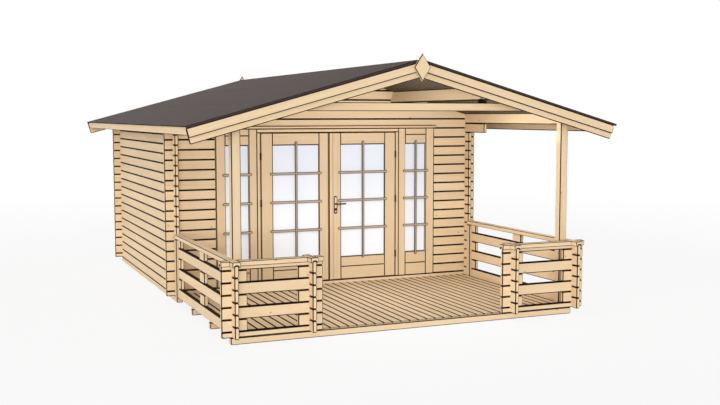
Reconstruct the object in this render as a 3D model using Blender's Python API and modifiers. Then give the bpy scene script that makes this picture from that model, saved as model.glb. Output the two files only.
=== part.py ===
"""Weekend cottage: a small log cabin with a covered veranda, as an assembly of separate pieces.

Frame: metres, +Z up, the front of the cottage towards -Y. The origin is on the ground, under the
middle of the roof. Logs along Y (side walls, side railings) have their joints at whole courses, and
logs along X (front, rear and gables) at half courses, so that they cross at the corners.
"""
import math

import bmesh
import bpy
from mathutils import Matrix, Vector

# ---------------------------------------------------------------- driving dimensions
GAP = 0.0003                 # between pieces that touch
OVERCUT = 0.1                # cutting shapes past the faces they cut
OVERLAP = 0.001              # of shapes that are joined into one
MERGE = 0.00001              # corners closer than this are one
LOG_THICKNESS = 0.045
LOG_COURSE = 0.121           # height that each log adds to a wall
LOG_END = 0.105              # what a log runs on past a corner
GROOVE_DEPTH = 0.005         # V groove along each joint between logs
WALL_COURSES = 18            # courses in a side wall, the top one being the wall plate

CABIN_WIDTH = 4.0            # over the side walls
CABIN_DEPTH = 3.66           # over the front and rear walls
VERANDA_DEPTH = 2.475        # from the front wall to the face of the front railing
CORBEL_LENGTH = 0.50         # log under each wall plate, run forward past the front wall

BEAM_HEIGHT = 0.07
BEAM_WIDTH = 0.074
BASE_FRONT = 0.085           # base frame past the face of the front wall
JOIST_PITCH = 0.784          # veranda joists, from the front beam
JOIST_OVERHANG = 0.012       # ends of the veranda joists past the side railings
VERANDA_JOISTS = 2
FLOOR_JOISTS = 2
DECK_THICKNESS = 0.020

ROOF_PITCH = math.radians(15.26)
ROOF_FRONT_OVERHANG = 0.10   # past the face of the front railing
ROOF_REAR_OVERHANG = 0.16    # past the rear wall
ROOF_SIDE_OVERHANG = 0.43    # past the side walls, to the outside of the fascias
ROOF_BOARD = 0.018
FELT = 0.004
FELT_LAP = 0.018             # felt past the fascia
FELT_LIP = 0.024             # height of the felt's turned-down edge
PURLIN_RUN = 0.942           # down the slope, from the ridge to the purlin's middle
PURLIN_WIDTH = 0.045
PURLIN_DEPTH = 0.142
BARGE_BOARD = 0.020          # thickness of each of the two layers
BARGE_UPPER = 0.095          # width of the outer layer
BARGE_LOWER = 0.158          # width of the inner layer
FASCIA_DEPTH = 0.108
FASCIA_BOARD = 0.020
FINIAL_WIDTH = 0.175
FINIAL_HEIGHT = 0.285
FINIAL_THICKNESS = 0.028
FINIAL_ABOVE_RIDGE = 0.059   # tip over the felt
FELT_NOTCH = 0.07            # half the notch in the felt's lip, behind a finial

RAIL_COURSES = 6
CAP_WIDTH = 0.082
CAP_DROP = 0.021             # lip of the handrail below the top of the logs
CAP_RISE = 0.034             # handrail above the top of the logs
CAP_CHAMFER = 0.008
CAP_END = 0.006              # handrail past the log ends
RAIL_BLOCK = 0.115           # short logs beside a corner, in the gaps between rails
MIDDLE_BLOCK = 0.19
ENTRANCE_WIDTH = 2.11        # between the log ends of the two front railings
WALL_POST_WIDTH = 0.095
WALL_POST_DEPTH = 0.088
POST_WIDTH = 0.088
POST_SETBACK = 0.118         # from the face of the front railing to the post's face
POST_CLEARANCE = 0.0025      # between a post and the wall plate beside it
TIE_DEPTH = 0.089
TIE_RISE = 0.030             # underside of the tie beam above the top of the side walls
TIE_HAUNCH = 0.10

FRAME_HALF_WIDTH = 1.48      # to the outside of the sidelights
FRAME_HEAD_COURSE = 16.5     # logs over the doors start here
JAMB_HALF_WIDTH = 0.963      # to the outside of the door frame
JAMB_WIDTH = 0.045
FRAME_PROUD = 0.010          # joinery in front of the log face
FRAME_DEPTH = 0.075
HEAD_HEIGHT = 0.045
LEAF_GAP = 0.006             # between a door leaf and its frame
MEETING_GAP = 0.008          # between the two leaves
LEAF_THICKNESS = 0.040
LEAF_PROUD = 0.014
MEETING_X = -0.018           # middle of the gap where the leaves meet
STRIP_WIDTH = 0.053
STRIP_THICKNESS = 0.012
GLASS_THICKNESS = 0.006
GLASS_DROP = 0.199           # top of all the glass below the top of the door frame
LEAF_GLASS_RISE = 0.294      # bottom of the glass above the sill log
SIDE_GLASS_RISE = 0.307
LEAF_GLASS_INNER = 0.147     # from the middle of the doorway
LEAF_GLASS_OUTER = 0.763
SIDE_GLASS_INNER = 1.063
SIDE_GLASS_OUTER = 1.364
HEAD_BOARD_HALF_WIDTH = 1.505
HEAD_BOARD_HEIGHT = 0.037
HEAD_BOARD_DEPTH = 0.040
HEAD_BOARD_BEVEL = 0.006
HINGE_DROPS = (0.336, 0.915) # upper hinges below the top of the door frame
HINGE_RISE = 0.300           # lowest hinge above the sill log
HINGE_RADIUS = 0.010
HINGE_LENGTH = 0.085
HINGE_PLATE = 0.016          # reach of the plate on the leaf, from the axis
HINGE_PLATE_INSET = 0.002    # plate's ends short of the knuckle's
HINGE_PROUD = 0.012          # axis in front of the leaf's face
HANDLE_X = 0.074
HANDLE_Z = 1.040
HANDLE_PLATE = (0.049, 0.008, 0.230)
HANDLE_PLATE_DROP = 0.013    # middle of the plate below the lever
SPINDLE_RADIUS = 0.0045
SPINDLE_HOLE = 0.0075
LEVER_RADIUS = 0.009
LEVER_LENGTH = 0.132
LEVER_STANDOFF = 0.050       # middle of the lever from the leaf's face

# ---------------------------------------------------------------- places worked out from them
HALF_WIDTH = CABIN_WIDTH / 2
INNER_HALF = HALF_WIDTH - LOG_THICKNESS
ROOF_LENGTH = ROOF_FRONT_OVERHANG + VERANDA_DEPTH + CABIN_DEPTH + ROOF_REAR_OVERHANG
Y_EDGE = -ROOF_LENGTH / 2                        # front edge of the roof
Y_RAIL = Y_EDGE + ROOF_FRONT_OVERHANG            # face of the front railing
Y_FRONT = Y_RAIL + VERANDA_DEPTH                 # face of the front wall
Y_REAR = Y_FRONT + CABIN_DEPTH                   # face of the rear wall
Y_POST = Y_RAIL + POST_SETBACK
Y_WALL_POST = Y_FRONT - LOG_END - GAP            # back of the wall posts
BASE = BEAM_HEIGHT                               # underside of the logs
SLOPE = math.tan(ROOF_PITCH)
ROOF_RUN = (HALF_WIDTH + ROOF_SIDE_OVERHANG) / math.cos(ROOF_PITCH)
RAIL_TOP = BASE + RAIL_COURSES * LOG_COURSE
ENTRANCE_HALF = ENTRANCE_WIDTH / 2
COLUMN_X = ENTRANCE_HALF + LOG_END + LOG_THICKNESS / 2    # middle of the entrance columns
CAP_X = HALF_WIDTH - LOG_THICKNESS / 2           # middle of the side railings


def course(number):
    """Height of a joint, counted in log courses."""
    return BASE + number * LOG_COURSE


WALL_TOP = course(WALL_COURSES)
RIDGE = WALL_TOP + INNER_HALF * SLOPE            # underside of the roof boards at the ridge


def under_roof(x):
    """Height of the roof boards' underside at a distance from the middle."""
    return RIDGE - abs(x) * SLOPE


def on_slope(run, rise, side=1):
    """Point in X and Z, down the slope from the ridge and square to the boards' underside."""
    x = run * math.cos(ROOF_PITCH) + rise * math.sin(ROOF_PITCH)
    return side * x, RIDGE - run * math.sin(ROOF_PITCH) + rise * math.cos(ROOF_PITCH)


def at_ridge(rise):
    """Height over the ridge line of a surface at a distance above the boards' underside."""
    return RIDGE + rise / math.cos(ROOF_PITCH)


# ---------------------------------------------------------------- scene, materials and helpers
for old in list(bpy.data.objects):
    bpy.data.objects.remove(old)


def collection(name, hidden=False):
    group = bpy.data.collections.new(name)
    group.hide_render = hidden
    bpy.context.scene.collection.children.link(group)
    return group


PARTS = collection("weekend_cottage")
CUTTERS = collection("cutters", hidden=True)


def material(name, color, roughness, metallic=0.0, transmission=0.0):
    made = bpy.data.materials.new(name)
    made.use_nodes = True
    made.diffuse_color = (*color, 1.0)
    shader = made.node_tree.nodes["Principled BSDF"]
    shader.inputs["Base Color"].default_value = (*color, 1.0)
    shader.inputs["Roughness"].default_value = roughness
    shader.inputs["Metallic"].default_value = metallic
    shader.inputs["Transmission Weight"].default_value = transmission
    return made


LOG_WOOD = material("log_spruce", (0.79, 0.60, 0.35), 0.62)
BOARD_WOOD = material("planed_spruce", (0.76, 0.58, 0.33), 0.55)
BEAM_WOOD = material("base_beam_spruce", (0.72, 0.54, 0.31), 0.70)
ROOF_FELT = material("roofing_felt", (0.105, 0.082, 0.076), 0.92)
WINDOW_GLASS = material("window_glass", (0.86, 0.90, 0.95), 0.05, transmission=1.0)
HARDWARE = material("dark_steel", (0.05, 0.045, 0.04), 0.38, metallic=0.9)


def add(name, mesh, finish, location=(0, 0, 0), rotation=(0, 0, 0), parent=None):
    """A named piece at a world location, kept there when it has a parent."""
    piece = bpy.data.objects.new(name, mesh)
    piece.rotation_euler = rotation
    piece.location = Vector(location)
    if parent:
        piece.parent = parent
        piece.location -= parent.location
    if finish:
        mesh.materials.append(finish)
    PARTS.objects.link(piece)
    return piece


def box_mesh(size):
    mesh = bpy.data.meshes.new("box")
    form = bmesh.new()
    bmesh.ops.create_cube(form, size=1.0, matrix=Matrix.Diagonal((*size, 1.0)))
    form.to_mesh(mesh)
    form.free()
    return mesh


def box(name, low, high, finish, parent=None):
    """An upright block between two corners, with its origin in its middle."""
    low = Vector(low)
    high = Vector(high)
    return add(name, box_mesh(high - low), finish, (low + high) / 2, parent=parent)


def prism(name, outline, start, end, finish, axis="Y"):
    """An outline in X and Z run along Y, or in Y and Z run along X."""
    curve = bpy.data.curves.new(name, "CURVE")
    curve.dimensions = "2D"
    curve.fill_mode = "BOTH"
    curve.extrude = abs(end - start) / 2
    spline = curve.splines.new("POLY")
    spline.points.add(len(outline) - 1)
    spline.use_cyclic_u = True
    for point, (across, height) in zip(spline.points, outline):
        point.co = (across, height, 0, 1)
    shape = bpy.data.objects.new("outline", curve)
    PARTS.objects.link(shape)
    if axis == "Y":
        turn = Matrix.Rotation(math.pi / 2, 4, "X")
        place = Matrix.Translation((0, (start + end) / 2, 0))
    else:
        turn = Matrix.Rotation(math.pi / 2, 4, "Z") @ Matrix.Rotation(math.pi / 2, 4, "X")
        place = Matrix.Translation(((start + end) / 2, 0, 0))
    shape.matrix_world = place @ turn
    bpy.context.view_layer.update()
    solid = bpy.data.meshes.new_from_object(shape.evaluated_get(bpy.context.evaluated_depsgraph_get()))
    form = bmesh.new()
    form.from_mesh(solid)
    bmesh.ops.remove_doubles(form, verts=form.verts, dist=MERGE)
    bmesh.ops.recalc_face_normals(form, faces=form.faces)
    form.to_mesh(solid)
    form.free()
    solid.materials.clear()
    piece = add(name, solid, finish)
    piece.matrix_world = shape.matrix_world.copy()
    bpy.data.objects.remove(shape)
    return piece


def joined_boxes(boxes):
    """One mesh in world space from boxes that don't touch each other."""
    mesh = bpy.data.meshes.new("boxes")
    form = bmesh.new()
    for low, high in boxes:
        middle = (Vector(low) + Vector(high)) / 2
        size = Vector(high) - Vector(low)
        place = Matrix.Translation(middle) @ Matrix.Diagonal((*size, 1.0))
        bmesh.ops.create_cube(form, size=1.0, matrix=place)
    form.to_mesh(mesh)
    form.free()
    return mesh


def as_tool(piece):
    """Takes a piece out of the parts, for use by a Boolean modifier."""
    for group in list(piece.users_collection):
        group.objects.unlink(piece)
    CUTTERS.objects.link(piece)
    piece.hide_render = True
    piece.display_type = "WIRE"
    return piece


def boolean(piece, tool, operation):
    step = piece.modifiers.new(operation.lower(), "BOOLEAN")
    step.operation = operation
    step.solver = "EXACT"
    step.object = as_tool(tool)


def cut_boxes(piece, boxes):
    boolean(piece, add(piece.name + "_cut", joined_boxes(boxes), None), "DIFFERENCE")


def cut_grooves(piece, axis, start, end, faces, joints):
    """V grooves on both faces of a wall of logs, at the heights of its joints."""
    mesh = bpy.data.meshes.new("grooves")
    form = bmesh.new()
    side = GROOVE_DEPTH * math.sqrt(2)
    for face in faces:
        for height in joints:
            if axis == "X":
                middle = ((start + end) / 2, face, height)
                size = (end - start, side, side)
            else:
                middle = (face, (start + end) / 2, height)
                size = (side, end - start, side)
            turn = Matrix.Rotation(math.pi / 4, 4, axis)
            place = Matrix.Translation(middle) @ turn @ Matrix.Diagonal((*size, 1.0))
            bmesh.ops.create_cube(form, size=1.0, matrix=place)
    form.to_mesh(mesh)
    form.free()
    boolean(piece, add(piece.name + "_grooves", mesh, None), "DIFFERENCE")


# ---------------------------------------------------------------- base and floors
def base_beams():
    """Beams on the ground: one frame under the cabin's walls and floor, and three under the deck."""
    top = BASE - GAP
    half = BEAM_WIDTH / 2
    front = Y_FRONT - BASE_FRONT
    inner = HALF_WIDTH - BEAM_WIDTH
    frame = box("cabin_base_frame", (-HALF_WIDTH, front, 0), (HALF_WIDTH, Y_REAR, top), BEAM_WOOD)
    first = Y_FRONT + LOG_THICKNESS / 2
    bay = (Y_REAR - half - first) / (FLOOR_JOISTS + 1)
    bays = [((-inner, front - OVERCUT, -OVERCUT), (inner, first - half, top + OVERCUT))]
    for number in range(FLOOR_JOISTS + 1):
        low = (-inner, first + bay * number + half, -OVERCUT)
        bays.append((low, (inner, first + bay * (number + 1) - half, top + OVERCUT)))
    cut_boxes(frame, bays)
    end = HALF_WIDTH + JOIST_OVERHANG
    box("front_beam", (-end, Y_RAIL, 0), (INNER_HALF, Y_RAIL + BEAM_WIDTH, top), BEAM_WOOD)
    for number in range(1, VERANDA_JOISTS + 1):
        y = Y_RAIL + half + number * JOIST_PITCH
        box(f"veranda_joist_{number}", (-end, y - half, 0), (end, y + half, top), BEAM_WOOD)


def floors():
    inner = INNER_HALF - GAP
    top = BASE + DECK_THICKNESS
    low = (-inner, Y_FRONT + LOG_THICKNESS + GAP, BASE)
    box("cabin_floor", low, (inner, Y_REAR - LOG_THICKNESS - GAP, top), BOARD_WOOD)
    deck = box("veranda_deck", (-inner, Y_RAIL, BASE), (inner, Y_FRONT - GAP, top), BOARD_WOOD)
    below = BASE - OVERCUT
    above = top + OVERCUT
    rail_back = Y_RAIL + LOG_THICKNESS + GAP
    column_back = Y_RAIL + LOG_THICKNESS + LOG_END + GAP
    column = LOG_THICKNESS / 2 + GAP
    for side in (-1, 1):
        rail = sorted((side * (HALF_WIDTH + OVERCUT), side * (ENTRANCE_HALF - GAP)))
        cut_boxes(deck, [((rail[0], Y_RAIL - OVERCUT, below), (rail[1], rail_back, above))])
        stub = sorted((side * (COLUMN_X - column), side * (COLUMN_X + column)))
        cut_boxes(deck, [((stub[0], Y_RAIL - OVERCUT, below), (stub[1], column_back, above))])
        post = sorted((side * (HALF_WIDTH + OVERCUT), side * (wall_post_inner() - GAP)))
        front = Y_WALL_POST - WALL_POST_DEPTH - GAP
        cut_boxes(deck, [((post[0], front, below), (post[1], Y_WALL_POST + GAP, above))])


# ---------------------------------------------------------------- log walls
def notch_side_logs(piece, wall_faces, first, last):
    """Notches in logs along Y for the front or rear wall's logs."""
    quarter = LOG_COURSE / 4 + GAP / 2
    boxes = []
    for face in wall_faces:
        for number in range(first, last + 1):
            middle = course(number)
            low = (-HALF_WIDTH - OVERCUT, face - GAP, middle - quarter)
            high = (HALF_WIDTH + OVERCUT, face + LOG_THICKNESS + GAP, middle + quarter)
            boxes.append((low, high))
    cut_boxes(piece, boxes)


def notch_cross_logs(piece, sides, y, first, last, to_top=False):
    """Notches in logs along X for the side walls' or side railings' logs."""
    quarter = LOG_COURSE / 4 + GAP / 2
    boxes = []
    for side in sides:
        across = sorted((side * (INNER_HALF - GAP), side * (HALF_WIDTH + GAP)))
        for number in range(first, last + 1):
            middle = course(number + 0.5)
            top = middle + quarter
            if to_top and number == last:
                top = middle + LOG_COURSE
            low = (across[0], y - OVERCUT, middle - quarter)
            boxes.append((low, (across[1], y + OVERCUT, top)))
    cut_boxes(piece, boxes)


def side_walls():
    """Side walls up to the wall plates, with the log ends past the corners and the corbels."""
    front = Y_FRONT - LOG_END
    rear = Y_REAR + LOG_END
    top = course(WALL_COURSES - 1)
    corbel_bottom = course(WALL_COURSES - 2)
    corbel = Y_FRONT - CORBEL_LENGTH
    outline = [(front, BASE), (rear, BASE), (rear, top), (corbel, top), (corbel, corbel_bottom),
               (front, corbel_bottom)]
    joints = [course(number) for number in range(1, WALL_COURSES)]
    walls = (Y_FRONT, Y_REAR - LOG_THICKNESS)
    for side, name in ((-1, "left"), (1, "right")):
        across = sorted((side * INNER_HALF, side * HALF_WIDTH))
        wall = prism(f"{name}_wall", outline, across[0], across[1], LOG_WOOD, axis="X")
        notch_side_logs(wall, walls, 0, WALL_COURSES - 1)
        cut_grooves(wall, "Y", corbel - OVERCUT, rear + OVERCUT, across, joints)


def wall_plates():
    """Top log of each side wall, carried forward over the veranda, with its top on the slope."""
    inside = BARGE_BOARD * 2 + GAP
    for side, name in ((-1, "left"), (1, "right")):
        bottom = course(WALL_COURSES - 1) + GAP
        outline = [(side * INNER_HALF, bottom), (side * HALF_WIDTH, bottom),
                   (side * HALF_WIDTH, under_roof(HALF_WIDTH) - GAP),
                   (side * INNER_HALF, under_roof(INNER_HALF) - GAP)]
        plate = prism(f"{name}_wall_plate", outline, Y_EDGE + inside, -Y_EDGE - inside, LOG_WOOD)
        notch_side_logs(plate, (Y_FRONT, Y_REAR - LOG_THICKNESS), WALL_COURSES - 1, WALL_COURSES)
        faces = (side * INNER_HALF, side * HALF_WIDTH)
        cut_grooves(plate, "Y", Y_EDGE, -Y_EDGE, faces, [course(WALL_COURSES - 1)])


def gable_outline(bottom):
    """Outline in X and Z of a wall along X that runs up to the roof."""
    end = HALF_WIDTH + LOG_END
    eave = under_roof(end) - GAP
    return [(-end, bottom), (end, bottom), (end, eave), (0, RIDGE - GAP), (-end, eave)]


def cut_purlins(piece):
    """Holes through a gable for the two purlins."""
    for side in (-1, 1):
        tool = purlin_block(f"{piece.name}_purlin_hole", side, 3 * GAP, -Y_EDGE)
        boolean(piece, tool, "DIFFERENCE")


def rear_wall():
    back = Y_REAR - LOG_THICKNESS
    wall = prism("rear_wall", gable_outline(BASE), back, Y_REAR, LOG_WOOD)
    notch_cross_logs(wall, (-1, 1), Y_REAR, 0, WALL_COURSES - 1)
    cut_purlins(wall)
    joints = [course(number + 0.5) for number in range(0, gable_courses())]
    span = HALF_WIDTH + LOG_END + OVERCUT
    cut_grooves(wall, "X", -span, span, (back, Y_REAR), joints)


def gable_courses():
    """Number of joints that fit under the ridge."""
    return int((RIDGE - BASE) / LOG_COURSE)


def front_wall():
    """Front wall in four pieces: half log under the doors, both sides, and the gable over them."""
    end = HALF_WIDTH + LOG_END
    back = Y_FRONT + LOG_THICKNESS
    span = end + OVERCUT
    faces = (Y_FRONT, back)
    sill = box("front_sill_log", (-end, Y_FRONT, BASE), (end, back, course(0.5) - GAP), LOG_WOOD)
    notch_cross_logs(sill, (-1, 1), Y_FRONT, 0, 0)
    cut_grooves(sill, "X", -span, span, faces, [course(0.5)])

    head = course(FRAME_HEAD_COURSE)
    joints = [course(number + 0.5) for number in range(0, int(FRAME_HEAD_COURSE) + 1)]
    for side, name in ((-1, "left"), (1, "right")):
        across = sorted((side * (FRAME_HALF_WIDTH + GAP), side * end))
        low = (across[0], Y_FRONT, course(0.5))
        wall = box(f"front_wall_{name}", low, (across[1], back, head - GAP), LOG_WOOD)
        notch_cross_logs(wall, (side,), Y_FRONT, 0, int(FRAME_HEAD_COURSE))
        cut_grooves(wall, "X", -span, span, faces, joints)

    gable = prism("front_gable", gable_outline(head), Y_FRONT, back, LOG_WOOD)
    notch_cross_logs(gable, (-1, 1), Y_FRONT, int(FRAME_HEAD_COURSE), WALL_COURSES - 1)
    cut_purlins(gable)
    joints = [course(number + 0.5) for number in range(int(FRAME_HEAD_COURSE), gable_courses())]
    cut_grooves(gable, "X", -span, span, faces, joints)


# ---------------------------------------------------------------- veranda
def wall_post_inner():
    """Inner face of the posts that stand against the front wall's log ends."""
    return CAP_X - WALL_POST_WIDTH / 2


def cap_outline(middle):
    """Section of a handrail, as pairs across and up."""
    half = CAP_WIDTH / 2
    low = RAIL_TOP - CAP_DROP
    top = RAIL_TOP + CAP_RISE
    return [(middle - half, low), (middle + half, low), (middle + half, top - CAP_CHAMFER),
            (middle + half - CAP_CHAMFER, top), (middle - half + CAP_CHAMFER, top),
            (middle - half, top - CAP_CHAMFER)]


def side_railings():
    """Railings of logs along Y: rails and gaps by turns, with short logs in the gaps."""
    front = Y_RAIL - LOG_END
    rear = Y_WALL_POST - WALL_POST_DEPTH - GAP
    middle = (Y_RAIL + LOG_THICKNESS + rear) / 2
    spans = ((Y_RAIL + LOG_THICKNESS + RAIL_BLOCK, middle - MIDDLE_BLOCK / 2),
             (middle + MIDDLE_BLOCK / 2, rear - RAIL_BLOCK))
    joints = [course(number) for number in range(1, RAIL_COURSES)]
    cap_bottom = RAIL_TOP - CAP_DROP
    for side, name in ((-1, "left"), (1, "right")):
        across = sorted((side * INNER_HALF, side * HALF_WIDTH))
        low = (across[0], front, BASE)
        panel = box(f"{name}_railing", low, (across[1], rear, cap_bottom + OVERLAP), LOG_WOOD)
        gaps = []
        for number in range(1, RAIL_COURSES, 2):
            for start, end in spans:
                high = min(course(number + 1), cap_bottom)
                low = (across[0] - OVERCUT, start, course(number))
                gaps.append((low, (across[1] + OVERCUT, end, high)))
        cut_boxes(panel, gaps)
        notch_side_logs(panel, (Y_RAIL,), 0, RAIL_COURSES - 1)
        cut_grooves(panel, "Y", front - OVERCUT, rear + OVERCUT, across, joints)
        cap = prism(f"{name}_cap", cap_outline(side * CAP_X), front - CAP_END, Y_WALL_POST, LOG_WOOD)
        boolean(panel, cap, "UNION")
        post = sorted((side * (post_inner() - GAP), side * (post_inner() + POST_WIDTH + GAP)))
        high = (post[1], Y_POST + POST_WIDTH + GAP, RAIL_TOP + OVERCUT)
        cut_boxes(panel, [((post[0], Y_POST - GAP, BASE), high)])


def front_railings():
    """Railings of logs along X on both sides of the entrance, each with an entrance column."""
    end = HALF_WIDTH + LOG_END
    back = Y_RAIL + LOG_THICKNESS
    column_front = Y_RAIL - LOG_END
    column_back = back + LOG_END
    block = COLUMN_X + LOG_THICKNESS / 2 + RAIL_BLOCK
    cap_bottom = RAIL_TOP - CAP_DROP
    joints = [course(number + 0.5) for number in range(0, RAIL_COURSES)]
    column_joints = [course(number) for number in range(1, RAIL_COURSES)]
    for side, name in ((-1, "left"), (1, "right")):
        across = sorted((side * ENTRANCE_HALF, side * end))
        low = (across[0], Y_RAIL, BASE)
        panel = box(f"front_railing_{name}", low, (across[1], back, cap_bottom + OVERLAP), LOG_WOOD)
        opening = sorted((side * block, side * (INNER_HALF - RAIL_BLOCK)))
        gaps = []
        for number in range(0, RAIL_COURSES, 2):
            low = (opening[0], Y_RAIL - OVERCUT, course(number + 0.5))
            gaps.append((low, (opening[1], back + OVERCUT, course(number + 1.5))))
        cut_boxes(panel, gaps)
        notch_cross_logs(panel, (side,), Y_RAIL, 0, RAIL_COURSES - 1, to_top=True)
        cut_grooves(panel, "X", -end - OVERCUT, end + OVERCUT, (Y_RAIL, back), joints)

        faces = sorted((side * (COLUMN_X - LOG_THICKNESS / 2), side * (COLUMN_X + LOG_THICKNESS / 2)))
        low = (faces[0], column_front, BASE)
        column = box(f"{name}_column", low, (faces[1], column_back, cap_bottom + OVERLAP), None)
        span = (column_front - OVERCUT, column_back + OVERCUT)
        cut_grooves(column, "Y", *span, faces, column_joints)
        boolean(panel, column, "UNION")

        start, stop = sorted((side * (ENTRANCE_HALF - CAP_END), side * (end + CAP_END)))
        cap = prism(f"{name}_front_cap", cap_outline(Y_RAIL + LOG_THICKNESS / 2), start, stop, None, "X")
        boolean(panel, cap, "UNION")
        over = cap_outline(side * COLUMN_X)
        cap = prism(f"{name}_column_cap", over, column_front - CAP_END, column_back + CAP_END, None)
        boolean(panel, cap, "UNION")

        side_cap = sorted((side * (CAP_X - CAP_WIDTH / 2 - GAP), side * (CAP_X + CAP_WIDTH / 2 + GAP)))
        low = (side_cap[0], Y_RAIL - OVERCUT, cap_bottom - GAP)
        cut_boxes(panel, [(low, (side_cap[1], back + OVERCUT, RAIL_TOP + OVERCUT))])


def post_inner():
    return INNER_HALF - POST_CLEARANCE - POST_WIDTH


def posts():
    """Wall posts at the rear end of the side railings, and the two posts that carry the roof."""
    cap_bottom = RAIL_TOP - CAP_DROP - GAP
    for side, name in ((-1, "left"), (1, "right")):
        across = sorted((side * wall_post_inner(), side * (wall_post_inner() + WALL_POST_WIDTH)))
        low = (across[0], Y_WALL_POST - WALL_POST_DEPTH, BASE)
        box(f"{name}_wall_post", low, (across[1], Y_WALL_POST, cap_bottom), BOARD_WOOD)
        inner = post_inner()
        outer = inner + POST_WIDTH
        foot = BASE + DECK_THICKNESS + GAP
        outline = [(side * inner, foot), (side * outer, foot), (side * outer, under_roof(outer) - GAP),
                   (side * inner, under_roof(inner) - GAP)]
        prism(f"{name}_veranda_post", outline, Y_POST, Y_POST + POST_WIDTH, LOG_WOOD)


def tie_beam():
    """Beam between the veranda posts, with seats under the purlins and a haunch at each post."""
    bottom = WALL_TOP + TIE_RISE
    top = bottom + TIE_DEPTH
    end = post_inner() - GAP
    haunch = end - 4 * TIE_HAUNCH
    seat = -PURLIN_DEPTH - 2 * GAP
    inner_seat = on_slope(PURLIN_RUN - PURLIN_WIDTH, seat)
    outer_seat = on_slope(PURLIN_RUN + PURLIN_WIDTH, seat)
    slope_start = (RIDGE - GAP - top) / SLOPE
    right = [(haunch, bottom), (end, bottom - TIE_HAUNCH), (end, under_roof(end) - GAP),
             (slope_start, top), (outer_seat[0], top), outer_seat, inner_seat, (inner_seat[0], top)]
    left = [(-x, z) for x, z in reversed(right)]
    middle = Y_POST + POST_WIDTH / 2
    prism("tie_beam", right + left, middle - LOG_THICKNESS / 2, middle + LOG_THICKNESS / 2, LOG_WOOD)


# ---------------------------------------------------------------- roof
def purlin_block(name, side, clearance, half_length):
    """A purlin's bar, square to the slope, or the hole for it when a clearance is given."""
    size = (PURLIN_WIDTH + 2 * clearance, 2 * half_length, PURLIN_DEPTH + 2 * clearance)
    x, z = on_slope(PURLIN_RUN, -PURLIN_DEPTH / 2 - GAP, side)
    return add(name, box_mesh(size), LOG_WOOD, (x, 0, z), (0, side * ROOF_PITCH, 0))


def roof():
    """Two purlins, boards down both slopes, fascias, two-layer barge boards, felt and finials."""
    inside = BARGE_BOARD * 2 + GAP
    for side, name in ((-1, "left"), (1, "right")):
        purlin_block(f"{name}_purlin", side, 0, -Y_EDGE - inside)
        eave = ROOF_RUN - FASCIA_BOARD - GAP
        outline = [(side * GAP / 2, at_ridge(0)), on_slope(eave, 0, side),
                   on_slope(eave, ROOF_BOARD, side), (side * GAP / 2, at_ridge(ROOF_BOARD))]
        prism(f"roof_boards_{name}", outline, Y_EDGE, -Y_EDGE, BOARD_WOOD)
        low = ROOF_BOARD - FASCIA_DEPTH
        outline = [on_slope(ROOF_RUN - FASCIA_BOARD, low, side), on_slope(ROOF_RUN, low, side),
                   on_slope(ROOF_RUN, ROOF_BOARD, side),
                   on_slope(ROOF_RUN - FASCIA_BOARD, ROOF_BOARD, side)]
        prism(f"{name}_fascia", outline, Y_EDGE + inside, -Y_EDGE - inside, BOARD_WOOD)
        for end, where in ((-1, "front"), (1, "rear")):
            barge_board(f"{where}_barge_board_{name}", side, end)
    felt()
    for end, where in ((-1, "front"), (1, "rear")):
        finial(f"{where}_finial", end)


def barge_board(name, side, end):
    """An outer and a wider inner board under the edge of the roof boards, cut plumb at the ridge."""
    def layer(part, width, start, stop):
        outline = [(side * GAP / 2, at_ridge(-GAP)), on_slope(ROOF_RUN, -GAP, side),
                   on_slope(ROOF_RUN, -width, side), (side * GAP / 2, at_ridge(-width))]
        return prism(part, outline, *sorted((end * (-Y_EDGE - start), end * (-Y_EDGE - stop))), BOARD_WOOD)

    board = layer(name, BARGE_LOWER, BARGE_BOARD, 2 * BARGE_BOARD)
    boolean(board, layer(name + "_outer", BARGE_UPPER, 0, BARGE_BOARD + OVERLAP), "UNION")


def felt():
    """Roofing felt in one sheet over the ridge, its edges turned down all round."""
    low = ROOF_BOARD + GAP
    top = low + FELT
    edge = ROOF_RUN + FELT_LAP
    lip = top - FELT_LIP
    right = [on_slope(edge, top), on_slope(edge, lip), on_slope(edge - FELT, lip),
             on_slope(edge - FELT, low)]
    left = [(-x, z) for x, z in reversed(right)]
    outline = [(0, at_ridge(top)), *right, (0, at_ridge(low)), *left]
    reach = -Y_EDGE + GAP
    sheet = prism("roof_felt", outline, -reach, reach, ROOF_FELT)
    right = [on_slope(edge, top), on_slope(edge, lip)]
    left = [(-x, z) for x, z in reversed(right)]
    outline = [(0, at_ridge(top)), *right, (0, at_ridge(lip)), *left]
    for end in (-1, 1):
        start, stop = sorted((end * reach, end * (reach + FELT)))
        boolean(sheet, prism(f"felt_lip_{end}", outline, start, stop, None), "UNION")
    notches = []
    for end in (-1, 1):
        start, stop = sorted((end * reach, end * (reach + OVERCUT)))
        notches.append(((-FELT_NOTCH, start, RIDGE - OVERCUT), (FELT_NOTCH, stop, RIDGE + OVERCUT)))
    cut_boxes(sheet, notches)


def finial(name, end):
    """Diamond-shaped board over the joint between the barge boards."""
    tip = at_ridge(ROOF_BOARD + FELT) + FINIAL_ABOVE_RIDGE
    middle = tip - FINIAL_HEIGHT / 2
    outline = [(0, tip), (FINIAL_WIDTH / 2, middle), (0, tip - FINIAL_HEIGHT), (-FINIAL_WIDTH / 2, middle)]
    start = -Y_EDGE + 2 * GAP
    prism(name, outline, *sorted((end * start, end * (start + FINIAL_THICKNESS))), BOARD_WOOD)


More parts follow.
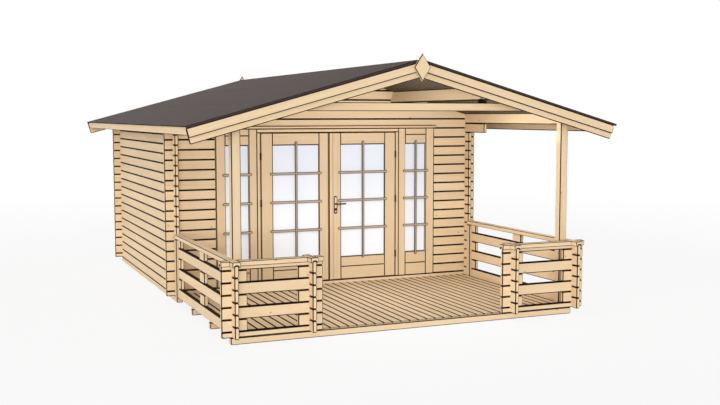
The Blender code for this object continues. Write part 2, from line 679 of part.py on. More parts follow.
# ---------------------------------------------------------------- doors and sidelights
def door_frame():
    """Jambs and head round the doorway in one frame, and the weather board over the whole opening."""
    face = Y_FRONT - FRAME_PROUD
    back = face + FRAME_DEPTH
    foot = course(0.5) + GAP
    head = course(FRAME_HEAD_COURSE) - GAP
    inner = JAMB_HALF_WIDTH - JAMB_WIDTH
    frame = box("door_frame", (-JAMB_HALF_WIDTH, face, foot), (JAMB_HALF_WIDTH, back, head), BOARD_WOOD)
    low = (-inner, face - OVERCUT, foot - OVERCUT)
    cut_boxes(frame, [(low, (inner, back + OVERCUT, head - HEAD_HEIGHT))])
    low = (-HEAD_BOARD_HALF_WIDTH, Y_FRONT - HEAD_BOARD_DEPTH, head + GAP)
    high = (HEAD_BOARD_HALF_WIDTH, Y_FRONT - GAP, head + GAP + HEAD_BOARD_HEIGHT)
    board = box("head_board", low, high, BOARD_WOOD)
    step = board.modifiers.new("bevel", "BEVEL")
    step.width = HEAD_BOARD_BEVEL
    step.segments = 1
    step.limit_method = "ANGLE"


def glazed(name, across, face, thickness, foot, head, glass_across, glass_rise, parent=None):
    """A wooden frame with one pane of glass held in the middle of its thickness."""
    low = course(0.5) + glass_rise
    high = course(FRAME_HEAD_COURSE) - GLASS_DROP
    frame = box(name, (across[0], face, foot), (across[1], face + thickness, head), BOARD_WOOD, parent)
    front = face - OVERCUT
    back = face + thickness + OVERCUT
    cut_boxes(frame, [((glass_across[0], front, low), (glass_across[1], back, high))])
    y = face + (thickness - GLASS_THICKNESS) / 2
    pane_low = (glass_across[0] + GAP, y, low + GAP)
    pane_high = (glass_across[1] - GAP, y + GLASS_THICKNESS, high - GAP)
    box(f"{name}_glass", pane_low, pane_high, WINDOW_GLASS, parent)
    return frame


def sidelights():
    """Fixed glazed panels between the door frame and the log walls."""
    face = Y_FRONT - FRAME_PROUD
    foot = course(0.5) + GAP
    head = course(FRAME_HEAD_COURSE) - GAP
    for side, name in ((-1, "left"), (1, "right")):
        across = sorted((side * (JAMB_HALF_WIDTH + GAP), side * FRAME_HALF_WIDTH))
        pane = sorted((side * SIDE_GLASS_INNER, side * SIDE_GLASS_OUTER))
        glazed(f"{name}_sidelight", across, face, FRAME_DEPTH, foot, head, pane, SIDE_GLASS_RISE)


def pivot(name, location):
    """An empty on a joint's axis, which carries the pieces that move."""
    empty = bpy.data.objects.new(name, None)
    empty.location = location
    PARTS.objects.link(empty)
    return empty


def doors():
    """Two glazed leaves that open outwards on three hinges each, and the handle on the right one."""
    face = Y_FRONT - LEAF_PROUD
    foot = course(0.5) + LEAF_GAP
    head = course(FRAME_HEAD_COURSE) - GAP - HEAD_HEIGHT - LEAF_GAP
    edge = JAMB_HALF_WIDTH - JAMB_WIDTH - LEAF_GAP
    for side, name in ((-1, "left"), (1, "right")):
        axis_x = side * (edge + LEAF_GAP / 2)
        carrier = pivot(f"{name}_door_pivot", (axis_x, face - HINGE_PROUD, 0))
        across = sorted((side * edge, MEETING_X + side * MEETING_GAP / 2))
        pane = sorted((side * LEAF_GLASS_INNER, side * LEAF_GLASS_OUTER))
        args = (across, face, LEAF_THICKNESS, foot, head, pane, LEAF_GLASS_RISE, carrier)
        leaf = glazed(f"{name}_door", *args)
        heights = [course(FRAME_HEAD_COURSE) - drop for drop in HINGE_DROPS]
        for height in (*heights, course(0.5) + HINGE_RISE):
            add_hinge(leaf, carrier, side, height, face)
        if side > 0:
            add_strip(leaf, across[0], face, foot, head)
            add_handle(leaf, carrier, face)


def cylinder_mesh(radius, length, sides=20):
    """A round bar along Z with its middle at the origin."""
    mesh = bpy.data.meshes.new("bar")
    form = bmesh.new()
    bmesh.ops.create_cone(form, cap_ends=True, segments=sides, radius1=radius, radius2=radius, depth=length)
    form.to_mesh(mesh)
    form.free()
    mesh.shade_smooth()
    mesh.set_sharp_from_angle(angle=math.radians(40))
    return mesh


def add_hinge(leaf, carrier, side, height, face):
    """Knuckle on the hinge axis and the plate that holds it to the leaf."""
    x, y, _ = carrier.location
    knuckle = add("knuckle", cylinder_mesh(HINGE_RADIUS, HINGE_LENGTH), None, (x, y, height))
    boolean(leaf, knuckle, "UNION")
    across = sorted((x, x - side * HINGE_PLATE))
    half = HINGE_LENGTH / 2 - HINGE_PLATE_INSET
    low = (across[0], y + HINGE_RADIUS / 2, height - half)
    high = (across[1], face + OVERLAP, height + half)
    boolean(leaf, box("hinge_plate", low, high, None), "UNION")


def add_strip(leaf, start, face, foot, head):
    """Cover strip along the meeting edge of the right leaf."""
    low = (start, face - STRIP_THICKNESS, foot)
    boolean(leaf, box("strip", low, (start + STRIP_WIDTH, face + OVERLAP, head), None), "UNION")


def add_handle(leaf, carrier, face):
    """Long plate on the leaf, and a lever through it on a spindle, with a lever inside as well."""
    z = BASE + HANDLE_Z
    width, thickness, height = HANDLE_PLATE
    low = (HANDLE_X - width / 2, face - GAP - thickness, z - HANDLE_PLATE_DROP - height / 2)
    high = (HANDLE_X + width / 2, face - GAP, z - HANDLE_PLATE_DROP + height / 2)
    plate = box("handle_plate", low, high, HARDWARE, carrier)
    hole = cylinder_mesh(SPINDLE_HOLE, 2 * OVERCUT)
    for piece in (leaf, plate):
        tool = add("spindle_hole", hole, None, (HANDLE_X, face, z), (math.pi / 2, 0, 0))
        boolean(piece, tool, "DIFFERENCE")

    spindle = pivot("door_lever_pivot", Vector((HANDLE_X, face, z)) - carrier.location)
    spindle.parent = carrier
    outside = face - LEVER_STANDOFF
    inside = face + LEAF_THICKNESS + LEVER_STANDOFF
    bar = cylinder_mesh(SPINDLE_RADIUS, inside - outside)
    lever = add("door_lever", bar, HARDWARE, (HANDLE_X, (outside + inside) / 2, z), (math.pi / 2, 0, 0))
    place = lever.location.copy()
    lever.parent = spindle
    lever.location = place - Vector((HANDLE_X, face, z))
    for y in (outside, inside):
        grip = cylinder_mesh(LEVER_RADIUS, LEVER_LENGTH)
        middle = HANDLE_X - LEVER_RADIUS + LEVER_LENGTH / 2
        tool = add("grip", grip, None, (middle, y, z), (0, math.pi / 2, 0))
        boolean(lever, tool, "UNION")


base_beams()
floors()
side_walls()
wall_plates()
rear_wall()
front_wall()
side_railings()
front_railings()
posts()
tie_beam()
roof()
door_frame()
sidelights()
doors()
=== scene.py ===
import math

import bmesh
import bpy
from mathutils import Matrix, Vector


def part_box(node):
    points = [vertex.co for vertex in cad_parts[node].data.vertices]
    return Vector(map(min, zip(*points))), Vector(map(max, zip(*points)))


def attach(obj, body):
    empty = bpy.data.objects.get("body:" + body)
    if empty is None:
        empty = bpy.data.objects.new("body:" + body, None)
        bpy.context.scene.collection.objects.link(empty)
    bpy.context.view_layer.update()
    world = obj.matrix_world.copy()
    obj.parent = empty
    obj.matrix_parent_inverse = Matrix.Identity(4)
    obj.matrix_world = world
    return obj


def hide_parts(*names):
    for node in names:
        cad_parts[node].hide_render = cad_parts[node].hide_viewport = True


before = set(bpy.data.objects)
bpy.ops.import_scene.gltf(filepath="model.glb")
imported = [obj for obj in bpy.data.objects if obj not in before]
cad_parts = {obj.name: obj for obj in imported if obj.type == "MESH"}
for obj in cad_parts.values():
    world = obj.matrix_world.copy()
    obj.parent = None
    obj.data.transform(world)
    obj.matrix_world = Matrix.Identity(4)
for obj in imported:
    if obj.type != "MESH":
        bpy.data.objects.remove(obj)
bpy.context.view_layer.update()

# ------------------------ view, floor and light
# The cottage stands on a plain pale floor, seen from the front left a little above eye height. The
# light is soft: a faint sky, broad lamps from all round, one long panel low and far in front, and
# two panels under the veranda roof that light its floor and the undersides of its timber.
SCENE = bpy.context.scene
WHITE = (1, 1, 1, 1)
CAMERA_AT = (-4.6078, -12.3241, 2.2368)
CAMERA_TURN = (math.pi / 2 - 0.08796, 0.00055, -0.40588)
CAMERA_LENS = 49.54
CAMERA_REACH = 300.0
SKY_LIGHT = 0.27
# name, strength, height above the horizon, turn, spread (degrees)
LAMPS = (("high_lamp", 0.45, 42.0, -20.0, 45.0), ("front_lamp", 1.25, 4.0, -14.0, 30.0),
         ("left_lamp", 1.60, 8.0, -80.0, 40.0), ("right_lamp", 1.0, 12.0, 85.0, 50.0),
         ("back_lamp", 1.2, 15.0, 180.0, 50.0))
# name, place, point aimed at, width and height (metres), power (watts)
PANELS = (("low_panel", (-14.0, -32.0, 1.6), (0.0, -0.8, 1.9), (24.0, 3.2), 2700.0),
          ("deck_panel", (0.0, -2.2, 2.02), (0.0, -2.3, 0.0), (3.5, 1.7), 28.0),
          ("roof_panel", (0.0, -2.3, 1.80), (0.0, -2.1, 3.0), (3.5, 1.5), 48.0))
FLOOR_SIZE = 90.0
FLOOR_SQUARES = 8
FLOOR_GREY = (0.86, 0.855, 0.845, 1)
FADE_FROM = 6.0
FADE_TO = 16.0
WHITE_NEAR = 0.87


def in_scene(name, data):
    """An object of this name, put in the scene."""
    made = bpy.data.objects.new(name, data)
    SCENE.collection.objects.link(made)
    return made


def connect(tree, target, sockets):
    """Each named socket of a node given a value or another node's output."""
    for key, value in sockets.items():
        if isinstance(value, bpy.types.NodeSocket):
            tree.links.new(value, target.inputs[key])
        else:
            target.inputs[key].default_value = value


def node(tree, kind, sockets=None, **settings):
    """A new node, with its settings and what its sockets are given."""
    made = tree.nodes.new(kind)
    for key, value in settings.items():
        setattr(made, key, value)
    connect(tree, made, sockets or {})
    return made


def math_node(tree, operation, first, second=0.0, third=0.0, clamp=False):
    """The result of one sum on up to three values."""
    made = node(tree, "ShaderNodeMath", {0: first, 1: second, 2: third}, operation=operation,
                use_clamp=clamp)
    return made.outputs[0]


def ranged(tree, value, low, high, start=0.0, end=1.0):
    """A value that goes from low to high while another goes from start to end."""
    return node(tree, "ShaderNodeMapRange", {"Value": value, 1: start, 2: end, 3: low, 4: high}).outputs[0]


def seen_directly(tree):
    """1 for what the camera sees directly or in gloss or glass, and 0 for light on the object."""
    path = node(tree, "ShaderNodeLightPath").outputs
    seen = math_node(tree, "ADD", path["Is Camera Ray"], path["Is Glossy Ray"])
    return math_node(tree, "ADD", seen, path["Is Transmission Ray"], clamp=True)


camera = in_scene("camera", bpy.data.cameras.new("camera"))
camera.location = CAMERA_AT
camera.rotation_euler = CAMERA_TURN
camera.data.lens = CAMERA_LENS
camera.data.clip_end = CAMERA_REACH
SCENE.camera = camera
SCENE.view_settings.view_transform = "Standard"

world = bpy.data.worlds.new("sky")
world.use_nodes = True
tree = world.node_tree
tree.nodes.clear()
sky = node(tree, "ShaderNodeBackground", {"Color": WHITE, "Strength": SKY_LIGHT})
white = node(tree, "ShaderNodeBackground", {"Color": WHITE, "Strength": 1.0})
shown = node(tree, "ShaderNodeMixShader", {0: seen_directly(tree), 1: sky.outputs[0], 2: white.outputs[0]})
node(tree, "ShaderNodeOutputWorld", {0: shown.outputs[0]})
SCENE.world = world

for name, strength, height, turn, spread in LAMPS:
    lamp = in_scene(name, bpy.data.lights.new(name, "SUN"))
    lamp.data.energy = strength
    lamp.data.angle = math.radians(spread)
    lamp.rotation_euler = (math.radians(90 - height), 0, math.radians(turn))

for name, spot, aim, size, power in PANELS:
    lamp = in_scene(name, bpy.data.lights.new(name, "AREA"))
    lamp.data.shape = "RECTANGLE"
    lamp.data.size, lamp.data.size_y = size
    lamp.data.energy = power
    lamp.location = spot
    lamp.rotation_euler = (Vector(aim) - Vector(spot)).to_track_quat("-Z", "Y").to_euler()
    lamp.visible_camera = False
    lamp.visible_glossy = False

floor_form = bmesh.new()
bmesh.ops.create_grid(floor_form, x_segments=FLOOR_SQUARES, y_segments=FLOOR_SQUARES, size=FLOOR_SIZE)
floor_mesh = bpy.data.meshes.new("floor")
floor_form.to_mesh(floor_mesh)
floor_form.free()
floor = in_scene("floor", floor_mesh)
floor_finish = bpy.data.materials.new("pale_floor")
floor_finish.use_nodes = True
tree = floor_finish.node_tree
tree.nodes.clear()
away = node(tree, "ShaderNodeVectorMath", {0: node(tree, "ShaderNodeTexCoord").outputs["Object"]},
            operation="LENGTH").outputs["Value"]
fade = ranged(tree, away, WHITE_NEAR, 1.0, FADE_FROM, FADE_TO)
share = math_node(tree, "MULTIPLY", fade, seen_directly(tree))
matt = node(tree, "ShaderNodeBsdfDiffuse", {"Color": FLOOR_GREY})
glow = node(tree, "ShaderNodeEmission", {"Color": WHITE, "Strength": 1.0})
mixed = node(tree, "ShaderNodeMixShader", {0: share, 1: matt.outputs[0], 2: glow.outputs[0]})
node(tree, "ShaderNodeOutputMaterial", {0: mixed.outputs[0]})
floor_mesh.materials.append(floor_finish)

# ------------------------ base beams
# Squared spruce beams laid flat on the ground under the cabin walls, the cabin floor and the deck.
# They are sawn to one height, butted together and left with slightly rounded arrises.
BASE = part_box("veranda_deck")[0].z
BEAM_WIDTH = 0.074
BEAM_EASE = 0.0085
BEAM_GAP = 0.0005
CROSS_BEAMS = 4
SEAM = 0.0003                           # room between two timbers that touch
NEAR = 0.00002                          # two places closer than this count as one
CLOSE = 0.001                           # a face this close to an end or a top belongs to it
JOINT_LEAST = 0.004                     # an edge shorter than this along a timber is no joint
SQUARE_ON = 0.9                         # a face looks one way where its normal has this much of it
PARTLY = 0.5                            # as far as halfway
LIGHT_SPRUCE = (0.815, 0.628, 0.415)
DARK_SPRUCE = (0.70, 0.495, 0.28)
KNOT_BROWN = (0.34, 0.17, 0.065)
SHADES = (0.955, 1.035)                 # one board against the next
RINGS, FIBRES, BANDS, LESS = 0.34, 0.26, 0.38, 0.22            # shares of the dark grain, less a part
RING_SCALE, RING_WANDER, RING_DETAIL = 34.0, 5.0, 0.7
FIBRE_SCALE = (60.0, 520.0, 520.0)
BAND_SCALE = (14.0, 16.0, 16.0)
GRAIN_DRIFT = 0.05                      # change of the rings along a board
HEART_LOW, HEART_NEAR = 0.13, 0.11      # how far boards differ in the place of the tree's heart
LENGTHWISE = 37.0                       # how far boards differ in where their pattern starts
KNOT_CELLS = (3.6, 6.2)                 # cells in a metre along and across, each with a chance of a knot
KNOT_CORE, KNOT_RIM, KNOT_DARK = 0.035, 0.075, 0.8             # dark to the core, pale past the rim
KNOT_BEND, KNOT_REACH = 0.016, 0.30     # metres by which the grain bends, and cells out to where it does
KNOT_SHOWS = 0.62
SPRUCE_ROUGH = (0.54, 0.74)
GRAIN_DEPTH = 0.0008
SPRUCE_SHINE = 0.22
SHADE_SHINE = 0.12
SHADE_SPREAD = 0.08                     # of the roughness of a plain tone
SHADE_DEPTH = 0.001
SIDE_NAMES = ((-1, "left"), (1, "right"))


def new_finish(name):
    """A material, its tree, and the place on the object that its pattern follows."""
    finish = bpy.data.materials.new(name)
    finish.use_nodes = True
    tree = finish.node_tree
    return finish, tree, node(tree, "ShaderNodeTexCoord").outputs["Object"]


def noise(tree, place, scale, detail, **more):
    """A soft noise from 0 to 1 over a place."""
    sockets = {"Vector": place, "Scale": scale, "Detail": detail, **more}
    return node(tree, "ShaderNodeTexNoise", sockets).outputs["Fac"]


def two_tone(tree, share, light, dark):
    """A colour between two, each given as three numbers or as another node's output."""
    light, dark = (c if isinstance(c, bpy.types.NodeSocket) else (*c, 1) for c in (light, dark))
    return node(tree, "ShaderNodeMix", {0: share, 6: light, 7: dark}, data_type="RGBA").outputs[2]


def surface(tree, colour, roughness, relief, strength, depth, **more):
    """The shader's colour and roughness, a bump of some depth in metres, and other sockets by name."""
    bump = node(tree, "ShaderNodeBump", {"Height": relief, "Strength": strength, "Distance": depth})
    more = {key.replace("_", " "): value for key, value in more.items()}
    connect(tree, tree.nodes["Principled BSDF"],
            {"Base Color": colour, "Roughness": roughness, "Normal": bump.outputs[0], **more})


def spruce(name, turn=(0, 0, 0), stack="Z", pitch=2.0, start=-1.0, tone=1.0, knots=0.80):
    """Pale spruce. turn brings the grain to X; stack, pitch and start tell one board from the next.
    Each board has its own cut through the rings, its own shade, and knots that the grain runs round.
    tone makes all of it lighter or darker, and a higher value of knots leaves fewer of them."""
    finish, tree, place = new_finish(name)
    place = node(tree, "ShaderNodeMapping", {"Vector": place, "Rotation": turn}).outputs[0]
    parts = node(tree, "ShaderNodeSeparateXYZ", {0: place}).outputs
    along, across, through = parts["X"], parts[stack], parts["Y" if stack == "Z" else "Z"]
    number = math_node(tree, "DIVIDE", math_node(tree, "SUBTRACT", across, start), pitch)
    number = math_node(tree, "FLOOR", number)
    middle = math_node(tree, "MULTIPLY_ADD", number, pitch, start + pitch / 2)
    local = math_node(tree, "SUBTRACT", across, middle)
    chance = node(tree, "ShaderNodeTexWhiteNoise", {"W": number}, noise_dimensions="1D").outputs
    picks = node(tree, "ShaderNodeSeparateColor", {0: chance["Color"]}).outputs
    shift = math_node(tree, "MULTIPLY", chance["Value"], LENGTHWISE)

    spot = node(tree, "ShaderNodeCombineXYZ", {
        0: math_node(tree, "MULTIPLY_ADD", along, KNOT_CELLS[0], shift),
        1: math_node(tree, "MULTIPLY", local, KNOT_CELLS[1])}).outputs[0]
    cells = node(tree, "ShaderNodeTexVoronoi", {"Vector": spot, "Scale": 1.0},
                 voronoi_dimensions="2D").outputs
    lots = node(tree, "ShaderNodeSeparateColor", {0: cells["Color"]}).outputs
    has_knot = math_node(tree, "GREATER_THAN", lots[0], knots)
    bend = ranged(tree, cells["Distance"], KNOT_BEND, 0.0, 0.0, KNOT_REACH)
    bend = math_node(tree, "MULTIPLY", bend, has_knot)
    core = ranged(tree, cells["Distance"], KNOT_DARK, 0.0, KNOT_CORE, KNOT_RIM)
    core = math_node(tree, "MULTIPLY", core, has_knot)

    height = math_node(tree, "MULTIPLY", math_node(tree, "SUBTRACT", picks[1], 0.5), HEART_LOW)
    rings_at = node(tree, "ShaderNodeCombineXYZ", {
        0: math_node(tree, "MULTIPLY_ADD", along, GRAIN_DRIFT, shift),
        1: math_node(tree, "ADD", through, math_node(tree, "MULTIPLY", picks[0], HEART_NEAR)),
        2: math_node(tree, "ADD", math_node(tree, "ADD", local, bend), height)}).outputs[0]
    rings = node(tree, "ShaderNodeTexWave", {
        "Vector": rings_at, "Scale": RING_SCALE, "Distortion": RING_WANDER, "Detail": 3.0,
        "Detail Scale": RING_DETAIL}, wave_type="RINGS", rings_direction="X",
                 wave_profile="SAW").outputs["Fac"]
    fibres, bands = (noise(tree, node(tree, "ShaderNodeVectorMath", {0: rings_at, 1: scale},
                                      operation="MULTIPLY").outputs[0], 1.0, detail)
                     for scale, detail in ((FIBRE_SCALE, 3.0), (BAND_SCALE, 2.0)))

    grain = math_node(tree, "MULTIPLY", rings, RINGS)
    grain = math_node(tree, "ADD", grain, math_node(tree, "MULTIPLY", fibres, FIBRES))
    grain = math_node(tree, "ADD", grain, math_node(tree, "MULTIPLY", bands, BANDS))
    grain = math_node(tree, "SUBTRACT", grain, LESS, clamp=True)
    body = two_tone(tree, grain, [c * tone for c in LIGHT_SPRUCE], [c * tone for c in DARK_SPRUCE])
    body = node(tree, "ShaderNodeVectorMath", {0: body, "Scale": ranged(tree, picks[2], *SHADES)},
                operation="SCALE").outputs[0]
    colour = two_tone(tree, math_node(tree, "MULTIPLY", core, KNOT_SHOWS), body, KNOT_BROWN)
    relief = math_node(tree, "MULTIPLY_ADD", fibres, 0.6, math_node(tree, "MULTIPLY", rings, 0.4))
    surface(tree, colour, ranged(tree, fibres, *SPRUCE_ROUGH), relief, 0.30, GRAIN_DEPTH,
            Specular_IOR_Level=SPRUCE_SHINE)
    return finish


def shade(name, light, dark, roughness, scale):
    """A plain tone, uneven along its length, for a small part, an edge or a painted shadow."""
    finish, tree, place = new_finish(name)
    patch = noise(tree, place, scale, 4.0)
    rough = ranged(tree, patch, roughness - SHADE_SPREAD, roughness + SHADE_SPREAD)
    surface(tree, two_tone(tree, patch, light, dark), rough, patch, 0.4, SHADE_DEPTH,
            Specular_IOR_Level=SHADE_SHINE)
    return finish


# Near-black brown painted as the shadow in V joints and grooves, on open log tops and tongues, packing
# blocks and purlin undersides.
painted_shadow = shade("painted_shadow", (0.014, 0.0065, 0.0025), (0.006, 0.0025, 0.001), 0.90, 26.0)
arris_brown = shade("arris_brown", (0.038, 0.023, 0.012), (0.020, 0.012, 0.006), 0.80, 34.0)
# On a wooden piece the second finish is that painted shadow and the third the dark edge colour; on the felt
# the second is its dark edge.
WOOD, SHADOW_AND_EDGE, ARRIS = range(3)           # the finishes of a wooden piece, in their order

# Each of these turns a timber's length, height and thickness to three of the axes: here it lies
# along X or Y, with its thickness level.
LYING_X = Matrix(((1, 0, 0, 0), (0, 0, 1, 0), (0, 1, 0, 0), (0, 0, 0, 1)))
LYING_Y = Matrix(((0, 0, 1, 0), (1, 0, 0, 0), (0, 1, 0, 0), (0, 0, 0, 1)))
TURN_X = (0, 0, 0)
TURN_Y = (0, 0, -math.pi / 2)


def at(place, x=0.0, y=0.0, z=0.0):
    """A placing, moved to a spot."""
    return Matrix.Translation((x, y, z)) @ place


def rectangle(start, end, low, high):
    """Outline of a squared timber."""
    return [(start, low), (end, low), (end, high), (start, high)]


def pair(side, inner, outer):
    """Two distances from the middle, as places on one side, the lower first."""
    return sorted((side * inner, side * outer))


def span(edge, axis):
    """How far an edge reaches along an axis."""
    return abs(edge.verts[0].co[axis] - edge.verts[1].co[axis])


def facing(form, direction):
    """The faces of a form that look one way."""
    form.normal_update()
    return [face for face in form.faces if face.normal.dot(Vector(direction)) > SQUARE_ON]


def paint(faces, index):
    """Gives faces one of the piece's finishes, by number."""
    for face in faces:
        face.material_index = index


def bevel(form, edges, width, segments=1, clamp=False):
    """Cuts edges back to a flat or a round, and gives the new faces."""
    made = bmesh.ops.bevel(form, geom=edges, offset=width, affect="EDGES", segments=segments,
                           profile=0.5, material=-1, clamp_overlap=clamp)
    return made["faces"]


def extruded(form, faces, shift):
    """Draws faces out by a shift, and gives the corners at the far end."""
    run = bmesh.ops.extrude_face_region(form, geom=faces)
    far = [item for item in run["geom"] if isinstance(item, bmesh.types.BMVert)]
    bmesh.ops.translate(form, verts=far, vec=shift)
    return far


def add(whole, bar, place=None):
    """Puts one made bar in its place in the piece it belongs to, right side out."""
    if place is not None:
        bmesh.ops.transform(bar, matrix=place, verts=bar.verts)
        if place.to_3x3().determinant() < 0:
            bmesh.ops.reverse_faces(bar, faces=bar.faces)
    scratch = bpy.data.meshes.new("bar")
    bar.to_mesh(scratch)
    bar.free()
    whole.from_mesh(scratch)
    bpy.data.meshes.remove(scratch)


def timber(whole, outline, thickness, place, joints=None, joint=0.0, ease=0.002, planes=(), dark_top=False,
           index=WOOD, sharp_corners=False):
    """One piece of timber: its outline in length and height, given its thickness, with eased edges.
    joints says which corners lie on a joint, its V painted near-black as shade, and planes trim the piece
    square or to a slope.
    Its upper side can also be painted near-black as shade, and sharp_corners keeps the edges through its
    thickness sharp."""
    bar = bmesh.new()
    extruded(bar, [bar.faces.new([bar.verts.new((u, v, 0)) for u, v in outline])], (0, 0, thickness))
    for point, normal in planes:
        cut = bmesh.ops.bisect_plane(bar, geom=bar.verts[:] + bar.edges[:] + bar.faces[:], dist=NEAR,
                                     plane_co=place.inverted() @ Vector(point),
                                     plane_no=place.to_3x3().transposed() @ Vector(normal),
                                     clear_outer=True)
        rim = [item for item in cut["geom_cut"] if isinstance(item, bmesh.types.BMEdge)]
        bmesh.ops.holes_fill(bar, edges=rim)
    bmesh.ops.recalc_face_normals(bar, faces=bar.faces)
    bar.normal_update()
    paint(bar.faces, index)
    if joints:
        start, end = (limit(v.co.x for v in bar.verts) for limit in (min, max))
        chosen = [e for e in bar.edges if span(e, 0) > JOINT_LEAST and span(e, 1) < NEAR
                  and all(joints(v.co) for v in e.verts)]
        paint(bevel(bar, chosen, joint, clamp=True), SHADOW_AND_EDGE)
        bar.normal_update()
        ends = [f for f in bar.faces if abs(f.normal.x) > SQUARE_ON
                and min(abs(f.calc_center_median().x - x) for x in (start, end)) < CLOSE]
        chosen = list(dict.fromkeys(e for f in ends for e in f.edges))
    else:
        chosen = [e for e in bar.edges if not sharp_corners or span(e, 2) < NEAR]
    if ease:
        made = bevel(bar, chosen, ease, clamp=True)
        bar.normal_update()
        for face in made:
            face.material_index = SHADOW_AND_EDGE if joints and abs(face.normal.y) > PARTLY else ARRIS
    # Painted shade: the top faces are painted near-black.
    if dark_top:
        high = max(v.co.y for v in bar.verts)
        paint([f for f in facing(bar, (0, 1, 0)) if f.calc_center_median().y > high - CLOSE], SHADOW_AND_EDGE)
    add(whole, bar, place)


def block(whole, low, high, place=LYING_X, **options):
    """A squared timber between two corners, lying along X or Y or standing upright."""
    along, up, through = (max(range(3), key=lambda row: place[row][column]) for column in range(3))
    shift = Vector()
    shift[through] = low[through]
    timber(whole, rectangle(low[along], high[along], low[up], high[up]), high[through] - low[through],
           at(place, *shift), **options)


def finished(name, whole, body, nodes, finishes):
    """A piece in its place, riding on a body, standing for CAD nodes, with its finishes."""
    mesh = bpy.data.meshes.new(name)
    whole.to_mesh(mesh)
    whole.free()
    for finish in finishes:
        mesh.materials.append(finish)
    piece = in_scene(name, mesh)
    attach(piece, body)
    if nodes:
        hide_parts(*nodes)


def wooden(name, whole, nodes, grain, body="cabin", more=()):
    """A finished piece of wood: its grain, the painted shadow of its joints, and the dark colour of its
    edges.
    """
    finished(name, whole, body, nodes, (grain, painted_shadow, arris_brown, *more))


FRAME_LOW, FRAME_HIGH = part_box("cabin_base_frame")
WALL_LOW, WALL_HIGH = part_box("left_wall")
LOG = WALL_HIGH.x - WALL_LOW.x
FRONT_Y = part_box("front_sill_log")[0].y
beam_x = spruce("beam_spruce_x", TURN_X, tone=0.97, knots=0.7)
beam_y = spruce("beam_spruce_y", TURN_Y, tone=0.97, knots=0.7)

whole = bmesh.new()
for side, name in SIDE_NAMES:
    x = pair(side, FRAME_HIGH.x - BEAM_WIDTH, FRAME_HIGH.x)
    block(whole, (x[0], FRAME_LOW.y, 0), (x[1], FRAME_HIGH.y, BASE - SEAM), LYING_Y, ease=BEAM_EASE)
wooden("base_side_beams", whole, ("cabin_base_frame",), beam_y)

whole = bmesh.new()
first = FRONT_Y + LOG / 2 - BEAM_WIDTH / 2
last = FRAME_HIGH.y - BEAM_WIDTH
reach = FRAME_HIGH.x - BEAM_WIDTH - BEAM_GAP
for number in range(CROSS_BEAMS):
    y = first + (last - first) * number / (CROSS_BEAMS - 1)
    block(whole, (-reach, y, 0), (reach, y + BEAM_WIDTH, BASE - SEAM), ease=BEAM_EASE)
wooden("base_cross_beams", whole, (), beam_x)

for name in ("front_beam", "veranda_joist_1", "veranda_joist_2"):
    whole = bmesh.new()
    block(whole, *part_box(name), ease=BEAM_EASE)
    wooden(f"{name}_timber", whole, (name,), beam_x)

# ------------------------ cabin floor and veranda deck
# Planed spruce boards 100 mm wide with bevelled top edges, nailed to the beams. The deck boards run
# out to the face of the front beam and are notched round the railings; the cabin floor is the same.
BOARD_PITCH = 0.0999
BOARD_FIRST = -1.973
BOARD_COUNT = 41
BOARD_LEAST = 0.01
BOARD_SLIVER = 0.002                    # a notch closer than this to a board's edge is left out
BOARD_EASE = 0.0015
V_JOINT = 0.0115
NOTCH_PLAY = 0.001
EARLIER = 60                            # boards by which a finish starts its count before the first
FLAT_Y = Matrix(((0, 1, 0, 0), (1, 0, 0, 0), (0, 0, 1, 0), (0, 0, 0, 1)))      # along Y, laid flat
LOG_END = WALL_HIGH.y - FRAME_HIGH.y
RAIL_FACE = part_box("veranda_deck")[0].y
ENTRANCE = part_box("front_railing_right")[0].x
COLUMN = (ENTRANCE + LOG_END, ENTRANCE + LOG_END + LOG)
board_y = spruce("floor_spruce", TURN_Y, stack="Y", pitch=BOARD_PITCH,
                 start=-BOARD_FIRST - EARLIER * BOARD_PITCH, knots=0.86)
end_grain = shade("end_grain", (0.46, 0.34, 0.23), (0.32, 0.23, 0.15), 0.80, 60.0)
# The fourth finish: end grain on the deck boards' front ends, and painted shade on the tops of the front
# handrails and column caps.
FOURTH_FINISH = 3                                 # its place after the three of every wooden piece


def deck_front(x):
    """Where a deck board starts, behind the railing or the entrance column that stands there."""
    if COLUMN[0] - NOTCH_PLAY < abs(x) < COLUMN[1] + NOTCH_PLAY:
        return RAIL_FACE + LOG + LOG_END + NOTCH_PLAY
    return RAIL_FACE + LOG + NOTCH_PLAY if abs(x) > ENTRANCE - NOTCH_PLAY / 2 else RAIL_FACE


def boards(name, node_name, notched):
    """A floor of boards along Y, cut to the room's width, with a V between neighbours painted near-black as
    shade.
    """
    whole = bmesh.new()
    low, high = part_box(node_name)
    thick = high.z - low.z
    steps = (ENTRANCE, COLUMN[0] - NOTCH_PLAY, COLUMN[1] + NOTCH_PLAY) if notched else ()
    for number in range(BOARD_COUNT):
        left = max(low.x, BOARD_FIRST + number * BOARD_PITCH)
        right = min(high.x, BOARD_FIRST + (number + 1) * BOARD_PITCH)
        if right - left < BOARD_LEAST:
            continue
        cuts = sorted(s * x for s in (-1, 1) for x in steps
                      if left + BOARD_SLIVER < s * x < right - BOARD_SLIVER)
        cuts = [left, *cuts, right]
        edge = []
        for a, b in zip(cuts, cuts[1:]):
            y = deck_front((a + b) / 2) if notched else low.y
            edge += [(y, a), (y, b)]
        outline = [*dict.fromkeys(edge), (high.y, right), (high.y, left)]
        timber(whole, outline, thick, at(FLAT_Y, z=low.z), ease=BOARD_EASE, joint=V_JOINT,
               joints=lambda p: p.z > thick - NEAR and min(abs(p.y - left), abs(p.y - right)) < NEAR)
    if notched:
        ends = [f for f in facing(whole, (0, -1, 0)) if f.calc_center_median().y < RAIL_FACE + NEAR]
        paint(ends, FOURTH_FINISH)
    wooden(name, whole, (node_name,), board_y, more=(end_grain,))


boards("veranda_deck_boards", "veranda_deck", True)
boards("cabin_floor_boards", "cabin_floor", False)

